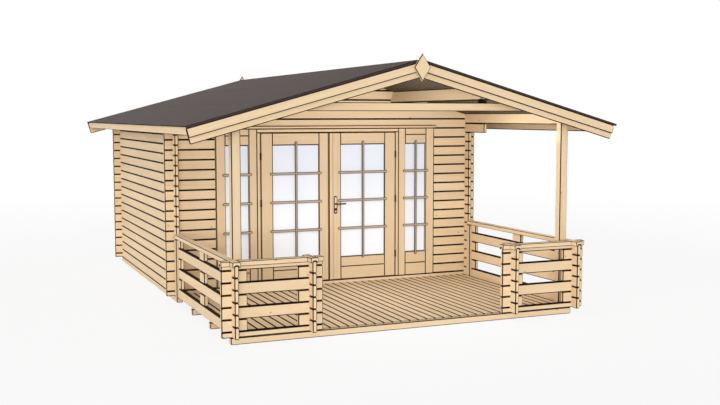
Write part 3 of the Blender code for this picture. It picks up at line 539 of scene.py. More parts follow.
# ------------------------ side walls
# Flat-faced spruce logs 45 mm thick and 121 mm high, tongued and grooved along their edges. They are
# stacked dry, notched over each other at the corners, and run on past them.
COURSE = 0.121
V_LOG = 0.0105
LOG_EASE = 0.0090
WALL_COURSES = 18
WALL_FRONT = FRONT_Y - LOG_END
REAR_WALL = (FRAME_HIGH.y - LOG, FRAME_HIGH.y)
FRONT_WALL = (FRONT_Y, FRONT_Y + LOG)
log_y = spruce("log_spruce_y", TURN_Y, pitch=COURSE, start=BASE)
log_x = spruce("log_spruce_x", TURN_X, pitch=COURSE, start=BASE - COURSE / 2)


def log_outline(start, end, low, high, notches, top, bottom):
    """Side view of a log with a notch a quarter of its height above and below at each crossing."""
    depth = COURSE / 4 + SEAM
    inside = sorted((a - SEAM, b + SEAM) for a, b in notches if a > start and b < end)
    outline = [(start, low)]
    for a, b in inside if bottom else ():
        outline += [(a, low), (a, low + depth), (b, low + depth), (b, low)]
    outline += [(end, low), (end, high)]
    for a, b in reversed(inside if top else ()):
        outline += [(b, high), (b, high - depth), (a, high - depth), (a, high)]
    return outline + [(start, high)]


def log(whole, place, start, end, low, high, notches=(), top=True, bottom=True, **options):
    """One log: eased ends, a V joint above and below painted near-black as shade, and notches where other
    logs cross it.
    """
    low += SEAM
    high -= SEAM
    outline = log_outline(start, end, low, high, notches, top, bottom)
    timber(whole, outline, LOG, place, ease=LOG_EASE, joint=V_LOG,
           joints=lambda p: min(abs(p.y - low), abs(p.y - high)) < NEAR, **options)


for side, name in SIDE_NAMES:
    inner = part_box(f"{name}_wall")[0].x
    whole = bmesh.new()
    for number in range(WALL_COURSES - 1):
        start = WALL_LOW.y if number == WALL_COURSES - 2 else WALL_FRONT
        low = BASE + number * COURSE
        log(whole, at(LYING_Y, x=inner), start, WALL_HIGH.y, low, low + COURSE, (FRONT_WALL, REAR_WALL))
    wooden(f"{name}_wall_logs", whole, (f"{name}_wall",), log_y)

# ------------------------ wall plates
# The top log of each side wall is one long spruce log carried forward over the veranda. Its top is
# planed to the slope of the roof, and the corbel log under it is part of the wall.
SLOPE = math.radians(15.26)
SIN, COS = math.sin(SLOPE), math.cos(SLOPE)
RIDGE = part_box("front_gable")[1].z + SEAM
ROOF_PLANES = [((0, 0, RIDGE - 2 * SEAM), (side * SIN, 0, COS)) for side in (-1, 1)]
OVERSIZE = 0.02                         # height that the plane of the roof takes off again
for side, name in SIDE_NAMES:
    low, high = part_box(f"{name}_wall_plate")
    whole = bmesh.new()
    log(whole, at(LYING_Y, x=low.x), low.y, high.y, low.z, high.z + OVERSIZE, (FRONT_WALL, REAR_WALL),
        top=False, planes=ROOF_PLANES)
    wooden(f"{name}_plate_log", whole, (f"{name}_wall_plate",), log_y)

# ------------------------ rear wall and front gable
# Logs across the cottage, half a course out of step with the side walls. The rear wall is closed up
# to the ridge; over the doors the front wall is one gable, its logs sawn off under the roof boards.
SIDES = ((-FRAME_HIGH.x, -FRAME_HIGH.x + LOG), (FRAME_HIGH.x - LOG, FRAME_HIGH.x))
LOG_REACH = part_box("rear_wall")[1].x
SAWING_SPARE = 0.01
SAWN_FROM = RIDGE - LOG_REACH * math.tan(SLOPE) - SAWING_SPARE         # logs that end higher are sawn
HEAD_LOG = 17
TOP_LOG = int((RIDGE - BASE) / COURSE + 0.5)


def cross_wall(name, node_name, y, numbers, start=-LOG_REACH, end=LOG_REACH):
    """Logs of a wall along X, by number: a half log at 0, and cut to the roof slope near the top."""
    whole = bmesh.new()
    for number in numbers:
        low = BASE + max(0.0, (number - 0.5) * COURSE)
        high = BASE + (number + 0.5) * COURSE
        log(whole, at(LYING_X, y=y), start, end, low, high, SIDES, top=number < WALL_COURSES,
            bottom=0 < number <= WALL_COURSES, planes=ROOF_PLANES if high > SAWN_FROM else ())
    wooden(name, whole, (node_name,), log_x)


cross_wall("rear_wall_logs", "rear_wall", REAR_WALL[0], range(TOP_LOG + 1))
cross_wall("front_gable_logs", "front_gable", FRONT_Y, range(HEAD_LOG, TOP_LOG + 1))

# ------------------------ front wall beside the doors
# Short spruce logs of the same section close the wall on both sides of the doors. A half log runs
# under the doors as their sill, from corner to corner.
for name in ("front_wall_left", "front_wall_right"):
    low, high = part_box(name)
    cross_wall(f"{name}_logs", name, FRONT_Y, range(1, HEAD_LOG), low.x, high.x)
cross_wall("front_sill_half_log", "front_sill_log", FRONT_Y, (0,))

# ------------------------ railings
# Low walls of the same logs round the veranda, with every second log cut away between short blocks.
# A moulded handrail sits over the top log, grooved underneath so that its lips lap over both faces.
RAIL_COURSES = 6
RAIL_TOP = BASE + RAIL_COURSES * COURSE
RAIL_BLOCK = 0.115
MIDDLE_BLOCK = 0.19
RAIL_WALL = (RAIL_FACE, RAIL_FACE + LOG)
RAIL_FRONT = RAIL_FACE - LOG_END
RAIL_LOW = 0.001                        # the top logs end this far under their full height
CAP_WIDTH = 0.082
CAP_DROP = 0.021
CAP_RISE = 0.034
CAP_OVER = 0.006
CAP_PLAY = 0.0008
CAP_EASE = 0.0062
CAP_CORNER = ((0.0, 0.011), (0.0035, 0.004), (0.011, 0.0))     # in from the face, down from the top
CAP_ARCH = ((0.0, -0.013), (0.006, -0.003), (0.015, 0.001))    # in from the groove's side, up
CAP_SLACK = 0.0005
# Of these, faces at a corner take the dark edge colour, and those at the groove the painted shadow.
CAP_ZONE = 0.003                        # faces this close to a corner or the groove are dark
TONGUES = (0.010, 0.028)
TONGUE_WIDTH = 0.007
TONGUE_ROOT = 0.002
TONGUE_RISE = 0.0055
TONGUE_EASE = 0.0012
cap_y = spruce("handrail_spruce_y", TURN_Y, tone=0.985, knots=0.9)
cap_x = spruce("handrail_spruce_x", TURN_X, tone=0.985, knots=0.9)
# Grey-brown painted shade for the tops of the front handrails and the column caps.
painted_cap_shade = shade("handrail_top_painted_shade", (0.36, 0.285, 0.21), (0.26, 0.20, 0.145), 0.70, 30.0)


def handrail(whole, place, start, end, middle, top_index=WOOD):
    """A length of handrail: a rounded bar with an arched groove underneath that fits the log's top, the
    groove painted near-black as shade.
    top_index gives its top faces a finish of their own.
    """
    half = CAP_WIDTH / 2
    slot = LOG / 2 + CAP_PLAY
    low, top = RAIL_TOP - CAP_DROP, RAIL_TOP + CAP_RISE
    right = [(slot, low), (half, low), *((half - u, top - v) for u, v in CAP_CORNER)]
    arch = [(u - slot, RAIL_TOP + v) for u, v in CAP_ARCH]
    outline = right + [(-u, v) for u, v in reversed(right)] + arch + [(-u, v) for u, v in reversed(arch)]
    bar = bmesh.new()
    face = bar.faces.new([bar.verts.new((start, v, middle + u)) for u, v in outline])
    extruded(bar, [face], (end - start, 0, 0))
    bmesh.ops.recalc_face_normals(bar, faces=bar.faces)
    rim = [e for e in bar.edges if span(e, 0) < NEAR or all(abs(v.co.y - low) < NEAR for v in e.verts)]
    paint(bevel(bar, rim, CAP_EASE), ARRIS)
    bar.normal_update()
    for face in bar.faces:
        centre = face.calc_center_median()
        off = abs(centre.z - middle)
        lengthwise = abs(face.normal.x) < PARTLY
        if centre.y > top - NEAR:
            face.material_index = top_index
        if lengthwise and off > half - CAP_ZONE and centre.y > top - CAP_CORNER[0][1] + CAP_SLACK:
            face.material_index = ARRIS
        if lengthwise and off < slot + CAP_SLACK and centre.y < RAIL_TOP + CAP_ZONE:
            face.material_index = SHADOW_AND_EDGE
    add(whole, bar, place)


def tongues(whole, place, start, end, height):
    """The two tongues along the top of a log that is left open, painted near-black all over as shade."""
    for offset in TONGUES:
        outline = rectangle(start, end, height - TONGUE_ROOT, height + TONGUE_RISE)
        timber(whole, outline, TONGUE_WIDTH, place @ Matrix.Translation((0, 0, offset)),
               ease=TONGUE_EASE, index=SHADOW_AND_EDGE)


def rail_course(whole, place, number, ends, gaps, low, high, crossings, **options):
    """A railing's even course is a whole log, with tongues where it is left open; an odd one is blocks."""
    if number % 2:
        edges = [ends[0], *(edge for gap in gaps for edge in gap), ends[1]]
        for start, end in zip(edges[::2], edges[1::2]):
            log(whole, place, start, end, low, high, crossings)
    else:
        log(whole, place, *ends, low, high, crossings, **options)
        for start, end in gaps:
            tongues(whole, place, start, end, high)


for side, name in SIDE_NAMES:
    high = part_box(f"{name}_railing")[1]
    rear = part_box(f"{name}_wall_post")[0].y - SEAM
    middle = (RAIL_WALL[1] + rear) / 2
    place = at(LYING_Y, x=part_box(f"{name}_wall")[0].x)
    gaps = ((RAIL_WALL[1] + RAIL_BLOCK, middle - MIDDLE_BLOCK / 2),
            (middle + MIDDLE_BLOCK / 2, rear - RAIL_BLOCK))
    whole = bmesh.new()
    for number in range(RAIL_COURSES):
        bottom = BASE + number * COURSE
        top = bottom + COURSE if number < RAIL_COURSES - 1 else RAIL_TOP - RAIL_LOW
        rail_course(whole, place, number, (RAIL_FRONT, rear), gaps, bottom, top, (RAIL_WALL,), dark_top=True)
    wooden(f"{name}_railing_logs", whole, (f"{name}_railing",), log_y)

    whole = bmesh.new()
    handrail(whole, LYING_Y, RAIL_FRONT - CAP_OVER, high.y, side * (FRAME_HIGH.x - LOG / 2))
    wooden(f"{name}_handrail", whole, (), cap_y)

CORNER_END = FRAME_HIGH.x + LOG_END
for side, name in SIDE_NAMES:
    column = pair(side, *COLUMN)
    crossings = (tuple(column), *SIDES)
    gap = pair(side, COLUMN[1] + RAIL_BLOCK, FRAME_HIGH.x - LOG - RAIL_BLOCK)
    ends = pair(side, ENTRANCE, CORNER_END)
    place = at(LYING_X, y=RAIL_FACE)
    whole = bmesh.new()
    for number in range(RAIL_COURSES + 1):
        bottom = max(BASE, BASE + (number - 0.5) * COURSE)
        top = min(RAIL_TOP - RAIL_LOW, BASE + (number + 0.5) * COURSE)
        under = number < RAIL_COURSES
        rail_course(whole, place, number, ends, (gap,) if under else (), bottom, top, crossings,
                    bottom=number > 0, top=under, dark_top=under)
    wooden(f"front_railing_{name}_logs", whole, (f"front_railing_{name}",), log_x)

    whole = bmesh.new()
    for number in range(RAIL_COURSES):
        bottom = BASE + number * COURSE
        top = bottom + COURSE - (RAIL_LOW if number == RAIL_COURSES - 1 else 0)
        log(whole, at(LYING_Y, x=column[0]), RAIL_FRONT, RAIL_WALL[1] + LOG_END, bottom, top, (RAIL_WALL,))
    wooden(f"{name}_entrance_column_logs", whole, (), log_y)

    whole = bmesh.new()
    # Its top faces take the painted shade.
    handrail(whole, LYING_Y, RAIL_FRONT - CAP_OVER, RAIL_WALL[1] + LOG_END + CAP_OVER, sum(column) / 2,
             top_index=FOURTH_FINISH)
    wooden(f"{name}_column_handrail", whole, (), cap_y, more=(painted_cap_shade,))
    whole = bmesh.new()
    half = CAP_WIDTH / 2 + SEAM
    cross = (sum(column) / 2, side * (FRAME_HIGH.x - LOG / 2))
    # Their top faces take the painted shade.
    for a, b in ((side * (ENTRANCE - CAP_OVER), cross[0] - side * half),
                 (cross[0] + side * half, cross[1] - side * half),
                 (cross[1] + side * half, side * (CORNER_END + CAP_OVER))):
        handrail(whole, LYING_X, min(a, b), max(a, b), RAIL_FACE + LOG / 2, top_index=FOURTH_FINISH)
    wooden(f"{name}_front_handrail", whole, (), cap_x, more=(painted_cap_shade,))

# ------------------------ posts and tie beam
# Planed square spruce posts carry the front of the roof, and short ones close the side railings at
# the wall. A tie beam with a haunch at each end joins the two tall posts, and carries the purlins on
# packing blocks.
POST_EASE = 0.0090
POST_FULLER = 0.004                     # on each side of a tall post, and twice that before its top is sawn
TIE_DEPTH = 0.089
TIE_RISE = 0.030
TIE_HAUNCH = 0.10                       # its depth, and a quarter of its length
TIE_EASE = 0.0074
PURLIN_RUN = 0.942                      # from the ridge, down the slope
PURLIN_WIDTH = 0.045
PURLIN_DEPTH = 0.142
UPRIGHT = Matrix(((0, 1, 0, 0), (0, 0, 1, 0), (1, 0, 0, 0), (0, 0, 0, 1)))
TURN_Z = (0, math.pi / 2, 0)
upright = spruce("post_spruce", TURN_Z, knots=0.84, tone=0.93)
for name in ("left_veranda_post", "right_veranda_post", "left_wall_post", "right_wall_post"):
    low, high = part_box(name)
    whole = bmesh.new()
    tall = "veranda" in name
    more = POST_FULLER if tall else 0
    block(whole, (low.x - more, low.y - more, low.z), (high.x + more, high.y + more, high.z + 2 * more),
          UPRIGHT, ease=POST_EASE, planes=ROOF_PLANES if tall else ())
    wooden(f"{name}_timber", whole, (name,), upright)


def on_slope(run, rise, side=1):
    """Point in X and Z, down the slope from the ridge and square to the boards' underside."""
    return side * (run * COS + rise * SIN), RIDGE - run * SIN + rise * COS


low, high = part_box("tie_beam")
bottom = BASE + WALL_COURSES * COURSE + TIE_RISE
top = bottom + TIE_DEPTH
end = high.x
right = [(end - 4 * TIE_HAUNCH, bottom), (end, bottom - TIE_HAUNCH),
         (end, RIDGE - end * math.tan(SLOPE) - 2 * SEAM), ((RIDGE - top) / math.tan(SLOPE), top)]
outline = right + [(-x, z) for x, z in reversed(right)]
whole = bmesh.new()
timber(whole, outline, high.y - low.y, at(LYING_X, y=low.y), ease=TIE_EASE)
# The packing blocks are painted near-black all over as shade between the tie beam and the purlins.
for side in (-1, 1):
    inner, outer = (on_slope(PURLIN_RUN + along, -PURLIN_DEPTH - 2 * SEAM, side)
                    for along in (-PURLIN_WIDTH, PURLIN_WIDTH))
    packing = [(inner[0], top + SEAM), (outer[0], top + SEAM), outer, inner]
    timber(whole, packing, high.y - low.y, at(LYING_X, y=low.y), ease=0, index=SHADOW_AND_EDGE)
wooden("tie_beam_timber", whole, ("tie_beam",), log_x)

# ------------------------ purlins and roof boards
# Two deep purlins run from gable to gable. Tongued boards are nailed across them from the ridge to
# the eaves, with a V along each joint on the side that shows from below.
ROOF_LOW, ROOF_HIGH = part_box("roof_boards_right")
ROOF_BOARD = 0.018
ROOF_BOARDS = 70
ROOF_PITCH = (ROOF_HIGH.y - ROOF_LOW.y) / ROOF_BOARDS
ROOF_V = 0.0120
FASCIA_BOARD = 0.020
RIDGE_PAST = 0.01                       # length past the ridge, before the plumb cut
EAVE_RUN = (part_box("right_fascia")[1].x - ROOF_BOARD * SIN) / COS
for side, name in SIDE_NAMES:
    low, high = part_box(f"{name}_purlin")
    x, z = on_slope(PURLIN_RUN, -PURLIN_DEPTH / 2 - SEAM, side)
    place = Matrix.Translation((x, 0, z)) @ Matrix.Rotation(side * SLOPE, 4, "Y") @ LYING_Y
    whole = bmesh.new()
    timber(whole, rectangle(low.y, high.y, -PURLIN_DEPTH / 2, PURLIN_DEPTH / 2), PURLIN_WIDTH,
           place @ Matrix.Translation((0, 0, -PURLIN_WIDTH / 2)), ease=TIE_EASE)
    # The purlins' undersides are painted near-black as shade.
    paint(facing(whole, (-side * SIN, 0, -COS)), SHADOW_AND_EDGE)
    wooden(f"{name}_purlin_timber", whole, (f"{name}_purlin",), log_y)

    # The roof boards keep the spruce grain but are toned down to near-black (tone 0.080), as painted shade
    # under the roof.
    roof_spruce_painted_shade = spruce(f"roof_spruce_painted_shade_{name}", (0, -side * SLOPE, 0), stack="Y", pitch=ROOF_PITCH,
                         start=ROOF_LOW.y - EARLIER * ROOF_PITCH, tone=0.080, knots=0.84)
    down = Matrix(((side * COS, 0, side * SIN, 0), (0, 1, 0, 0), (-SIN, 0, COS, RIDGE), (0, 0, 0, 1)))
    whole = bmesh.new()
    for number in range(ROOF_BOARDS):
        a = ROOF_LOW.y + number * ROOF_PITCH
        outline = rectangle(-RIDGE_PAST, EAVE_RUN - FASCIA_BOARD - SEAM, a, a + ROOF_PITCH)
        timber(whole, outline, ROOF_BOARD, down, joint=ROOF_V, ease=0,
               joints=lambda p: p.z < NEAR and min(abs(p.y - a), abs(p.y - a - ROOF_PITCH)) < NEAR,
               planes=[((side * SEAM / 2, 0, 0), (-side, 0, 0))])
    wooden(f"{name}_roof_boards", whole, (f"roof_boards_{name}",), roof_spruce_painted_shade)

# ------------------------ fascias, barge boards and finials
# Planed boards close the edges of the roof: a fascia along each eave, and at each gable an outer
# board over a wider one, cut plumb at the ridge, where a diamond-shaped board covers the joint.
BARGE_BOARD = 0.020
BARGE_LAYERS = ((0.095, 0.0), (0.158, BARGE_BOARD))            # width, and how far behind the face
BARGE_PAST = {-1: 0.018, 1: 0.0}        # past the fascia, on the left and on the right
BARGE_BACK = 0.06                       # length past the ridge, before the plumb cut
BARGE_EASE = 0.0095
FASCIA_DEPTH = 0.096
FASCIA_EASE = 0.0085
FINIAL_WIDER = 0.006
FINIAL_EASE = 0.0078
fascia_y = spruce("fascia_spruce", TURN_Y, knots=0.9)


def down_roof(side, y):
    """Placing of a board in the plane of a gable: length down the slope, height square to it."""
    return Matrix(((side * COS, side * SIN, 0, 0), (0, 0, 1, y), (-SIN, COS, 0, RIDGE), (0, 0, 0, 1)))


for side, name in SIDE_NAMES:
    low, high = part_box(f"{name}_fascia")
    x, z = on_slope(EAVE_RUN - FASCIA_BOARD, ROOF_BOARD - FASCIA_DEPTH, side)
    place = Matrix(((0, side * SIN, side * COS, x), (1, 0, 0, 0), (0, COS, -SIN, z), (0, 0, 0, 1)))
    whole = bmesh.new()
    timber(whole, rectangle(low.y, high.y, 0, FASCIA_DEPTH), FASCIA_BOARD, place, ease=FASCIA_EASE)
    wooden(f"{name}_fascia_board", whole, (f"{name}_fascia",), fascia_y)

    barge_spruce = spruce(f"barge_spruce_{name}", (0, -side * SLOPE, 0), knots=0.9, tone=0.95)
    for end, where in ((-1, "front"), (1, "rear")):
        whole = bmesh.new()
        for width, behind in BARGE_LAYERS:
            y = min(end * (ROOF_HIGH.y - behind), end * (ROOF_HIGH.y - behind - BARGE_BOARD + SEAM))
            timber(whole, rectangle(-BARGE_BACK, EAVE_RUN + BARGE_PAST[side], -width, -SEAM),
                   BARGE_BOARD - SEAM, down_roof(side, y), ease=BARGE_EASE,
                   planes=[((side * SEAM / 2, 0, 0), (-side, 0, 0))])
        paint(facing(whole, (side * COS, 0, -SIN)), ARRIS)
        node_name = f"{where}_barge_board_{name}"
        wooden(f"{node_name}s", whole, (node_name,), barge_spruce)

for name in ("front_finial", "rear_finial"):
    low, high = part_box(name)
    middle = (low.z + high.z) / 2
    whole = bmesh.new()
    outline = [(0, low.z), (high.x + FINIAL_WIDER, middle), (0, high.z), (low.x - FINIAL_WIDER, middle)]
    timber(whole, outline, high.y - low.y, at(LYING_X, y=low.y), ease=FINIAL_EASE, sharp_corners=True)
    wooden(f"{name}_board", whole, (name,), upright)

# ------------------------ roofing felt
# Brown-grey bitumen felt with a mineral face, laid over the boards in courses along the eaves. Each
# course laps over the one below, and the edges are turned down and nailed all round.
FELT = 0.004
FELT_PAST = 0.018
FELT_LIP = 0.024
EAVE_LIP = 0.011
LIP_FROM = 0.078                        # the gables' lips start this far from the ridge
LIP_BORDER = 0.0070
FELT_COURSES = 3
FELT_ROUGH = (0.86, 0.99)
FELT_SHINE = 0.15
GRIT_SCALE = 620.0
GRIT_DEPTH = 0.0012
WEATHER_SCALE = 2.3
LAP_GAP = 0.0005
LAP_LOW, LAP_HIGH = 0.0004, 0.0012      # what a course stands up by at its top and its bottom edge


def felt_finish(name, light, dark):
    """Fine mineral grit with broad, weathered patches."""
    finish, tree, place = new_finish(name)
    grit = noise(tree, place, GRIT_SCALE, 3.0, Roughness=0.7)
    mix = math_node(tree, "ADD", math_node(tree, "MULTIPLY", grit, 0.75),
                    math_node(tree, "MULTIPLY", noise(tree, place, WEATHER_SCALE, 4.0), 0.30))
    surface(tree, two_tone(tree, mix, light, dark), ranged(tree, grit, *FELT_ROUGH), grit, 0.5, GRIT_DEPTH,
            Specular_IOR_Level=FELT_SHINE)
    return finish


felt = felt_finish("mineral_felt", (0.072, 0.049, 0.042), (0.034, 0.022, 0.019))
felt_edge = felt_finish("felt_edge", (0.018, 0.013, 0.012), (0.008, 0.006, 0.005))
low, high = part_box("roof_felt")
length = high.y - low.y - 2 * FELT
base = ROOF_BOARD + SEAM
edge_run = EAVE_RUN + FELT_PAST
top = base + FELT
peak = RIDGE + base / COS
half_section = [on_slope(edge_run, top), on_slope(edge_run, top - EAVE_LIP),
                on_slope(edge_run - FELT, top - EAVE_LIP), on_slope(edge_run - FELT, base)]
outline = [(0, peak + FELT / COS), *half_section, (0, peak)]
outline += [(-x, z) for x, z in reversed(half_section)]
whole = bmesh.new()
timber(whole, outline, length, at(LYING_X, y=low.y + FELT), ease=0)
whole.normal_update()
paint([face for face in whole.faces if abs(face.normal.z) < PARTLY], SHADOW_AND_EDGE)
for end in (-1, 1):
    for side in (-1, 1):
        y = end * (high.y - FELT / 2) - FELT / 2
        timber(whole, rectangle(LIP_FROM, edge_run, top - FELT_LIP, top), FELT, down_roof(side, y), ease=0)
lips = [face for face in whole.faces if abs(face.normal.y) > SQUARE_ON]
made = bmesh.ops.inset_individual(whole, faces=lips, thickness=LIP_BORDER, depth=0.0)
paint(made["faces"], SHADOW_AND_EDGE)
course_run = edge_run / FELT_COURSES
for side in (-1, 1):
    for number in range(FELT_COURSES):
        a, b = number * course_run, (number + 1) * course_run - LAP_GAP
        timber(whole, [(a, top), (b, top), (b, top + LAP_HIGH), (a, top + LAP_LOW)], length,
               down_roof(side, low.y + FELT), ease=0)
finished("roof_felt_sheets", whole, "cabin", ("roof_felt",), (felt, felt_edge))

# ------------------------ door frame and head board
# A planed spruce frame round the doorway, fixed into the opening of the log wall, and a rounded
# weather board over the doors and sidelights.
JAMB = 0.045
STOP_WIDTH = 0.014
STOP_DEPTH = 0.034
FRAME_EASE = 0.0066
HEAD_ROUND = 0.012
HEAD_EASE = 0.0080
HEAD_ENDS = 0.01                        # its end edges are longer than this in depth
frame_z = spruce("joinery_spruce_z", TURN_Z, knots=0.97, tone=0.92)
frame_x = spruce("joinery_spruce_x", TURN_X, knots=0.97, tone=0.92)
low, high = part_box("door_frame")
whole = bmesh.new()
for side in (-1, 1):
    for inner, outer, front in ((high.x - JAMB, high.x, low.y),
                                (high.x - JAMB - STOP_WIDTH, high.x - JAMB, high.y - STOP_DEPTH)):
        x = pair(side, inner, outer)
        block(whole, (x[0], front, low.z), (x[1], high.y, high.z - JAMB - SEAM), UPRIGHT, ease=FRAME_EASE)
wooden("door_jambs", whole, ("door_frame",), frame_z)
whole = bmesh.new()
block(whole, (low.x, low.y, high.z - JAMB), high, ease=FRAME_EASE)
wooden("door_head", whole, (), frame_x)


def edges_at(form, axis, value):
    """The edges of a form that lie wholly at one place along an axis."""
    return [e for e in form.edges if all(abs(v.co[axis] - value) < NEAR for v in e.verts)]


low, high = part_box("head_board")
whole = bmesh.new()
block(whole, low, high, ease=0)
ends = [e for e in edges_at(whole, 2, high.z) if span(e, 1) > HEAD_ENDS]
paint(bevel(whole, ends, HEAD_ROUND, segments=3), ARRIS)
paint(bevel(whole, edges_at(whole, 1, low.y), HEAD_EASE), ARRIS)
wooden("head_board_moulding", whole, ("head_board",), frame_x)

# ------------------------ sidelights and door leaves
# Glazed spruce frames: full-height stiles with rails between them. The bottom rail of a leaf is two
# boards deep. Single panes sit in beads, and plug-in bars with round ends divide them.
BAR_HEIGHTS = (1.509, 1.152, 0.793)
BAR_WIDTH = 0.033
BAR_DEPTH = 0.011
BAR_PROUD = 0.002
BAR_PAST = 0.036
BAR_ENDS = (0.398, 1.912)
BAR_ROUND = 0.0060
BEAD = 0.007
BEAD_EASE = 0.0015
PANE_EASE = 0.0008
ROUND_END = 0.48                        # of the width: a half would leave no edge between two rounds
EDGEWISE = 0.2
# The pane is painted: its colour, pale at the foot and bluer towards the top, is a painted reflection, and
# it glows faintly in that colour as painted light.
REFLECTION_FOOT = (0.84, 0.875, 0.935)
REFLECTION_TOP = (0.685, 0.735, 0.82)
REFLECTION_FADE = (0.55, 1.90)               # heights between which the painted reflection goes from one to the other
PAINTED_GLOW = 0.13
GLASS_ROUGH = (0.03, 0.07)
RIPPLE_DEPTH = 0.002
RAIL_BACK = 0.0004                      # the rails lie this far behind the face of the stiles
SIDE_RAILS = (0.2900, 1.985)
LEAF_RAILS = (0.2985,)
LEAF_PROUD = 0.014                      # before the face of the logs
LEAF_THICKNESS = 0.040
LEAF_FACE = FRONT_Y - LEAF_PROUD
LEAF_BACK = LEAF_FACE + LEAF_THICKNESS
LEAF_EDGES = {"left_door": (-0.912, -0.022), "right_door": (-0.014, 0.912)}

# Opaque pale glass with a painted reflection and a faint painted glow.
glass, tree, place = new_finish("glass_painted_reflection")
up = node(tree, "ShaderNodeSeparateXYZ", {0: place}).outputs["Z"]
ripple = noise(tree, place, 3.0, 2.0)
fade = math_node(tree, "ADD", ranged(tree, up, 0.0, 1.0, *REFLECTION_FADE),
                 math_node(tree, "MULTIPLY", ripple, 0.10), clamp=True)
painted_reflection = two_tone(tree, fade, REFLECTION_FOOT, REFLECTION_TOP)
surface(tree, painted_reflection, ranged(tree, ripple, *GLASS_ROUGH), ripple, 0.05, RIPPLE_DEPTH, Emission_Color=painted_reflection,
        Emission_Strength=PAINTED_GLOW)
bar_brown = shade("bar_brown", (0.52, 0.41, 0.30), (0.42, 0.33, 0.24), 0.60, 60.0)
bar_grey = shade("bar_grey_brown", (0.40, 0.34, 0.275), (0.31, 0.26, 0.21), 0.55, 60.0)
bar_edge = shade("bar_edge", (0.060, 0.045, 0.034), (0.036, 0.026, 0.020), 0.7, 60.0)
LEVEL_BAR, UPRIGHT_BAR, BAR_EDGE = range(3)


def slab(low, high):
    """A squared block between two corners, still to be shaped."""
    form = bmesh.new()
    middle, size = (Vector(low) + Vector(high)) / 2, Vector(high) - Vector(low)
    bmesh.ops.create_cube(form, size=1.0,
                          matrix=Matrix.Translation(middle) @ Matrix.Diagonal((*size, 1)))
    return form


def round_bar(whole, start, end, middle, depth, place, index):
    """A glazing bar with round ends and rounded face, raised in front of the pane."""
    bar = slab((start, middle - BAR_WIDTH / 2, 0), (end, middle + BAR_WIDTH / 2, depth))
    corners = [e for e in bar.edges if span(e, 2) > depth / 2]
    bevel(bar, corners, BAR_WIDTH * ROUND_END, segments=5)
    bar.normal_update()
    rounded = bevel(bar, edges_at(bar, 2, depth), BAR_ROUND, segments=2)
    paint(bar.faces, index)
    paint(rounded, BAR_EDGE)
    paint([face for face in bar.faces if abs(face.normal.z) < EDGEWISE], BAR_EDGE)
    add(whole, bar, place)


def glazed(name, body, rails, edges, face, back):
    """Frame, pane, beads and bars of one sidelight or door leaf. rails are the heights of its joints,
    edges its left and right side, and face and back its front and rear."""
    low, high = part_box(name)
    pane_low, pane_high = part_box(f"{name}_glass")
    left, right = pane_low.x - SEAM, pane_high.x + SEAM
    bottom, top = pane_low.z - SEAM, pane_high.z + SEAM
    whole = bmesh.new()
    for a, b in ((edges[0], left), (right, edges[1])):
        block(whole, (a, face, low.z), (b, back, high.z), UPRIGHT, ease=FRAME_EASE)
    wooden(f"{name}_stiles", whole, (name,), frame_z, body=body)
    whole = bmesh.new()
    levels = sorted([low.z, *rails, bottom, top, high.z])
    for a, b in zip(levels, levels[1:]):
        if abs(a - bottom) > NEAR:
            block(whole, (left + SEAM, face + RAIL_BACK, a + SEAM), (right - SEAM, back, b - SEAM),
                  ease=FRAME_EASE)
    wooden(f"{name}_rails", whole, (), frame_x, body=body)

    whole = bmesh.new()
    for y in (pane_low.y - BEAD, pane_high.y):
        for a, b in ((left, left + BEAD), (right - BEAD, right)):
            block(whole, (a, y, bottom), (b, y + BEAD, top), UPRIGHT, ease=BEAD_EASE)
        for a, b in ((bottom, bottom + BEAD), (top - BEAD, top)):
            block(whole, (left + BEAD, y, a), (right - BEAD, y + BEAD, b), ease=BEAD_EASE)
    # The beads are dark edge brown, with their eased edges in the painted shadow.
    finished(f"{name}_beads", whole, body, (), (arris_brown, painted_shadow, painted_shadow))

    whole = bmesh.new()
    block(whole, pane_low, pane_high, UPRIGHT, ease=PANE_EASE)
    paint(whole.faces, 0)
    finished(f"{name}_pane", whole, body, (f"{name}_glass",), (glass,))

    whole = bmesh.new()
    for outward, y in ((-1, face), (1, back)):
        across = Matrix(((1, 0, 0, 0), (0, 0, outward, y), (0, 1, 0, 0), (0, 0, 0, 1)))
        upward = Matrix(((0, 1, 0, 0), (0, 0, outward, y), (1, 0, 0, 0), (0, 0, 0, 1)))
        for z in BAR_HEIGHTS:
            round_bar(whole, left - BAR_PAST, right + BAR_PAST, z, BAR_DEPTH, across, LEVEL_BAR)
        round_bar(whole, *BAR_ENDS, (left + right) / 2, BAR_DEPTH + BAR_PROUD, upward, UPRIGHT_BAR)
    finished(f"{name}_bars", whole, body, (), (bar_brown, bar_grey, bar_edge))


for name in ("left_sidelight", "right_sidelight"):
    low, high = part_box(name)
    glazed(name, "cabin", SIDE_RAILS, (low.x, high.x), low.y, high.y)
for name, edges in LEAF_EDGES.items():
    glazed(name, name, LEAF_RAILS, edges, LEAF_FACE, LEAF_BACK)

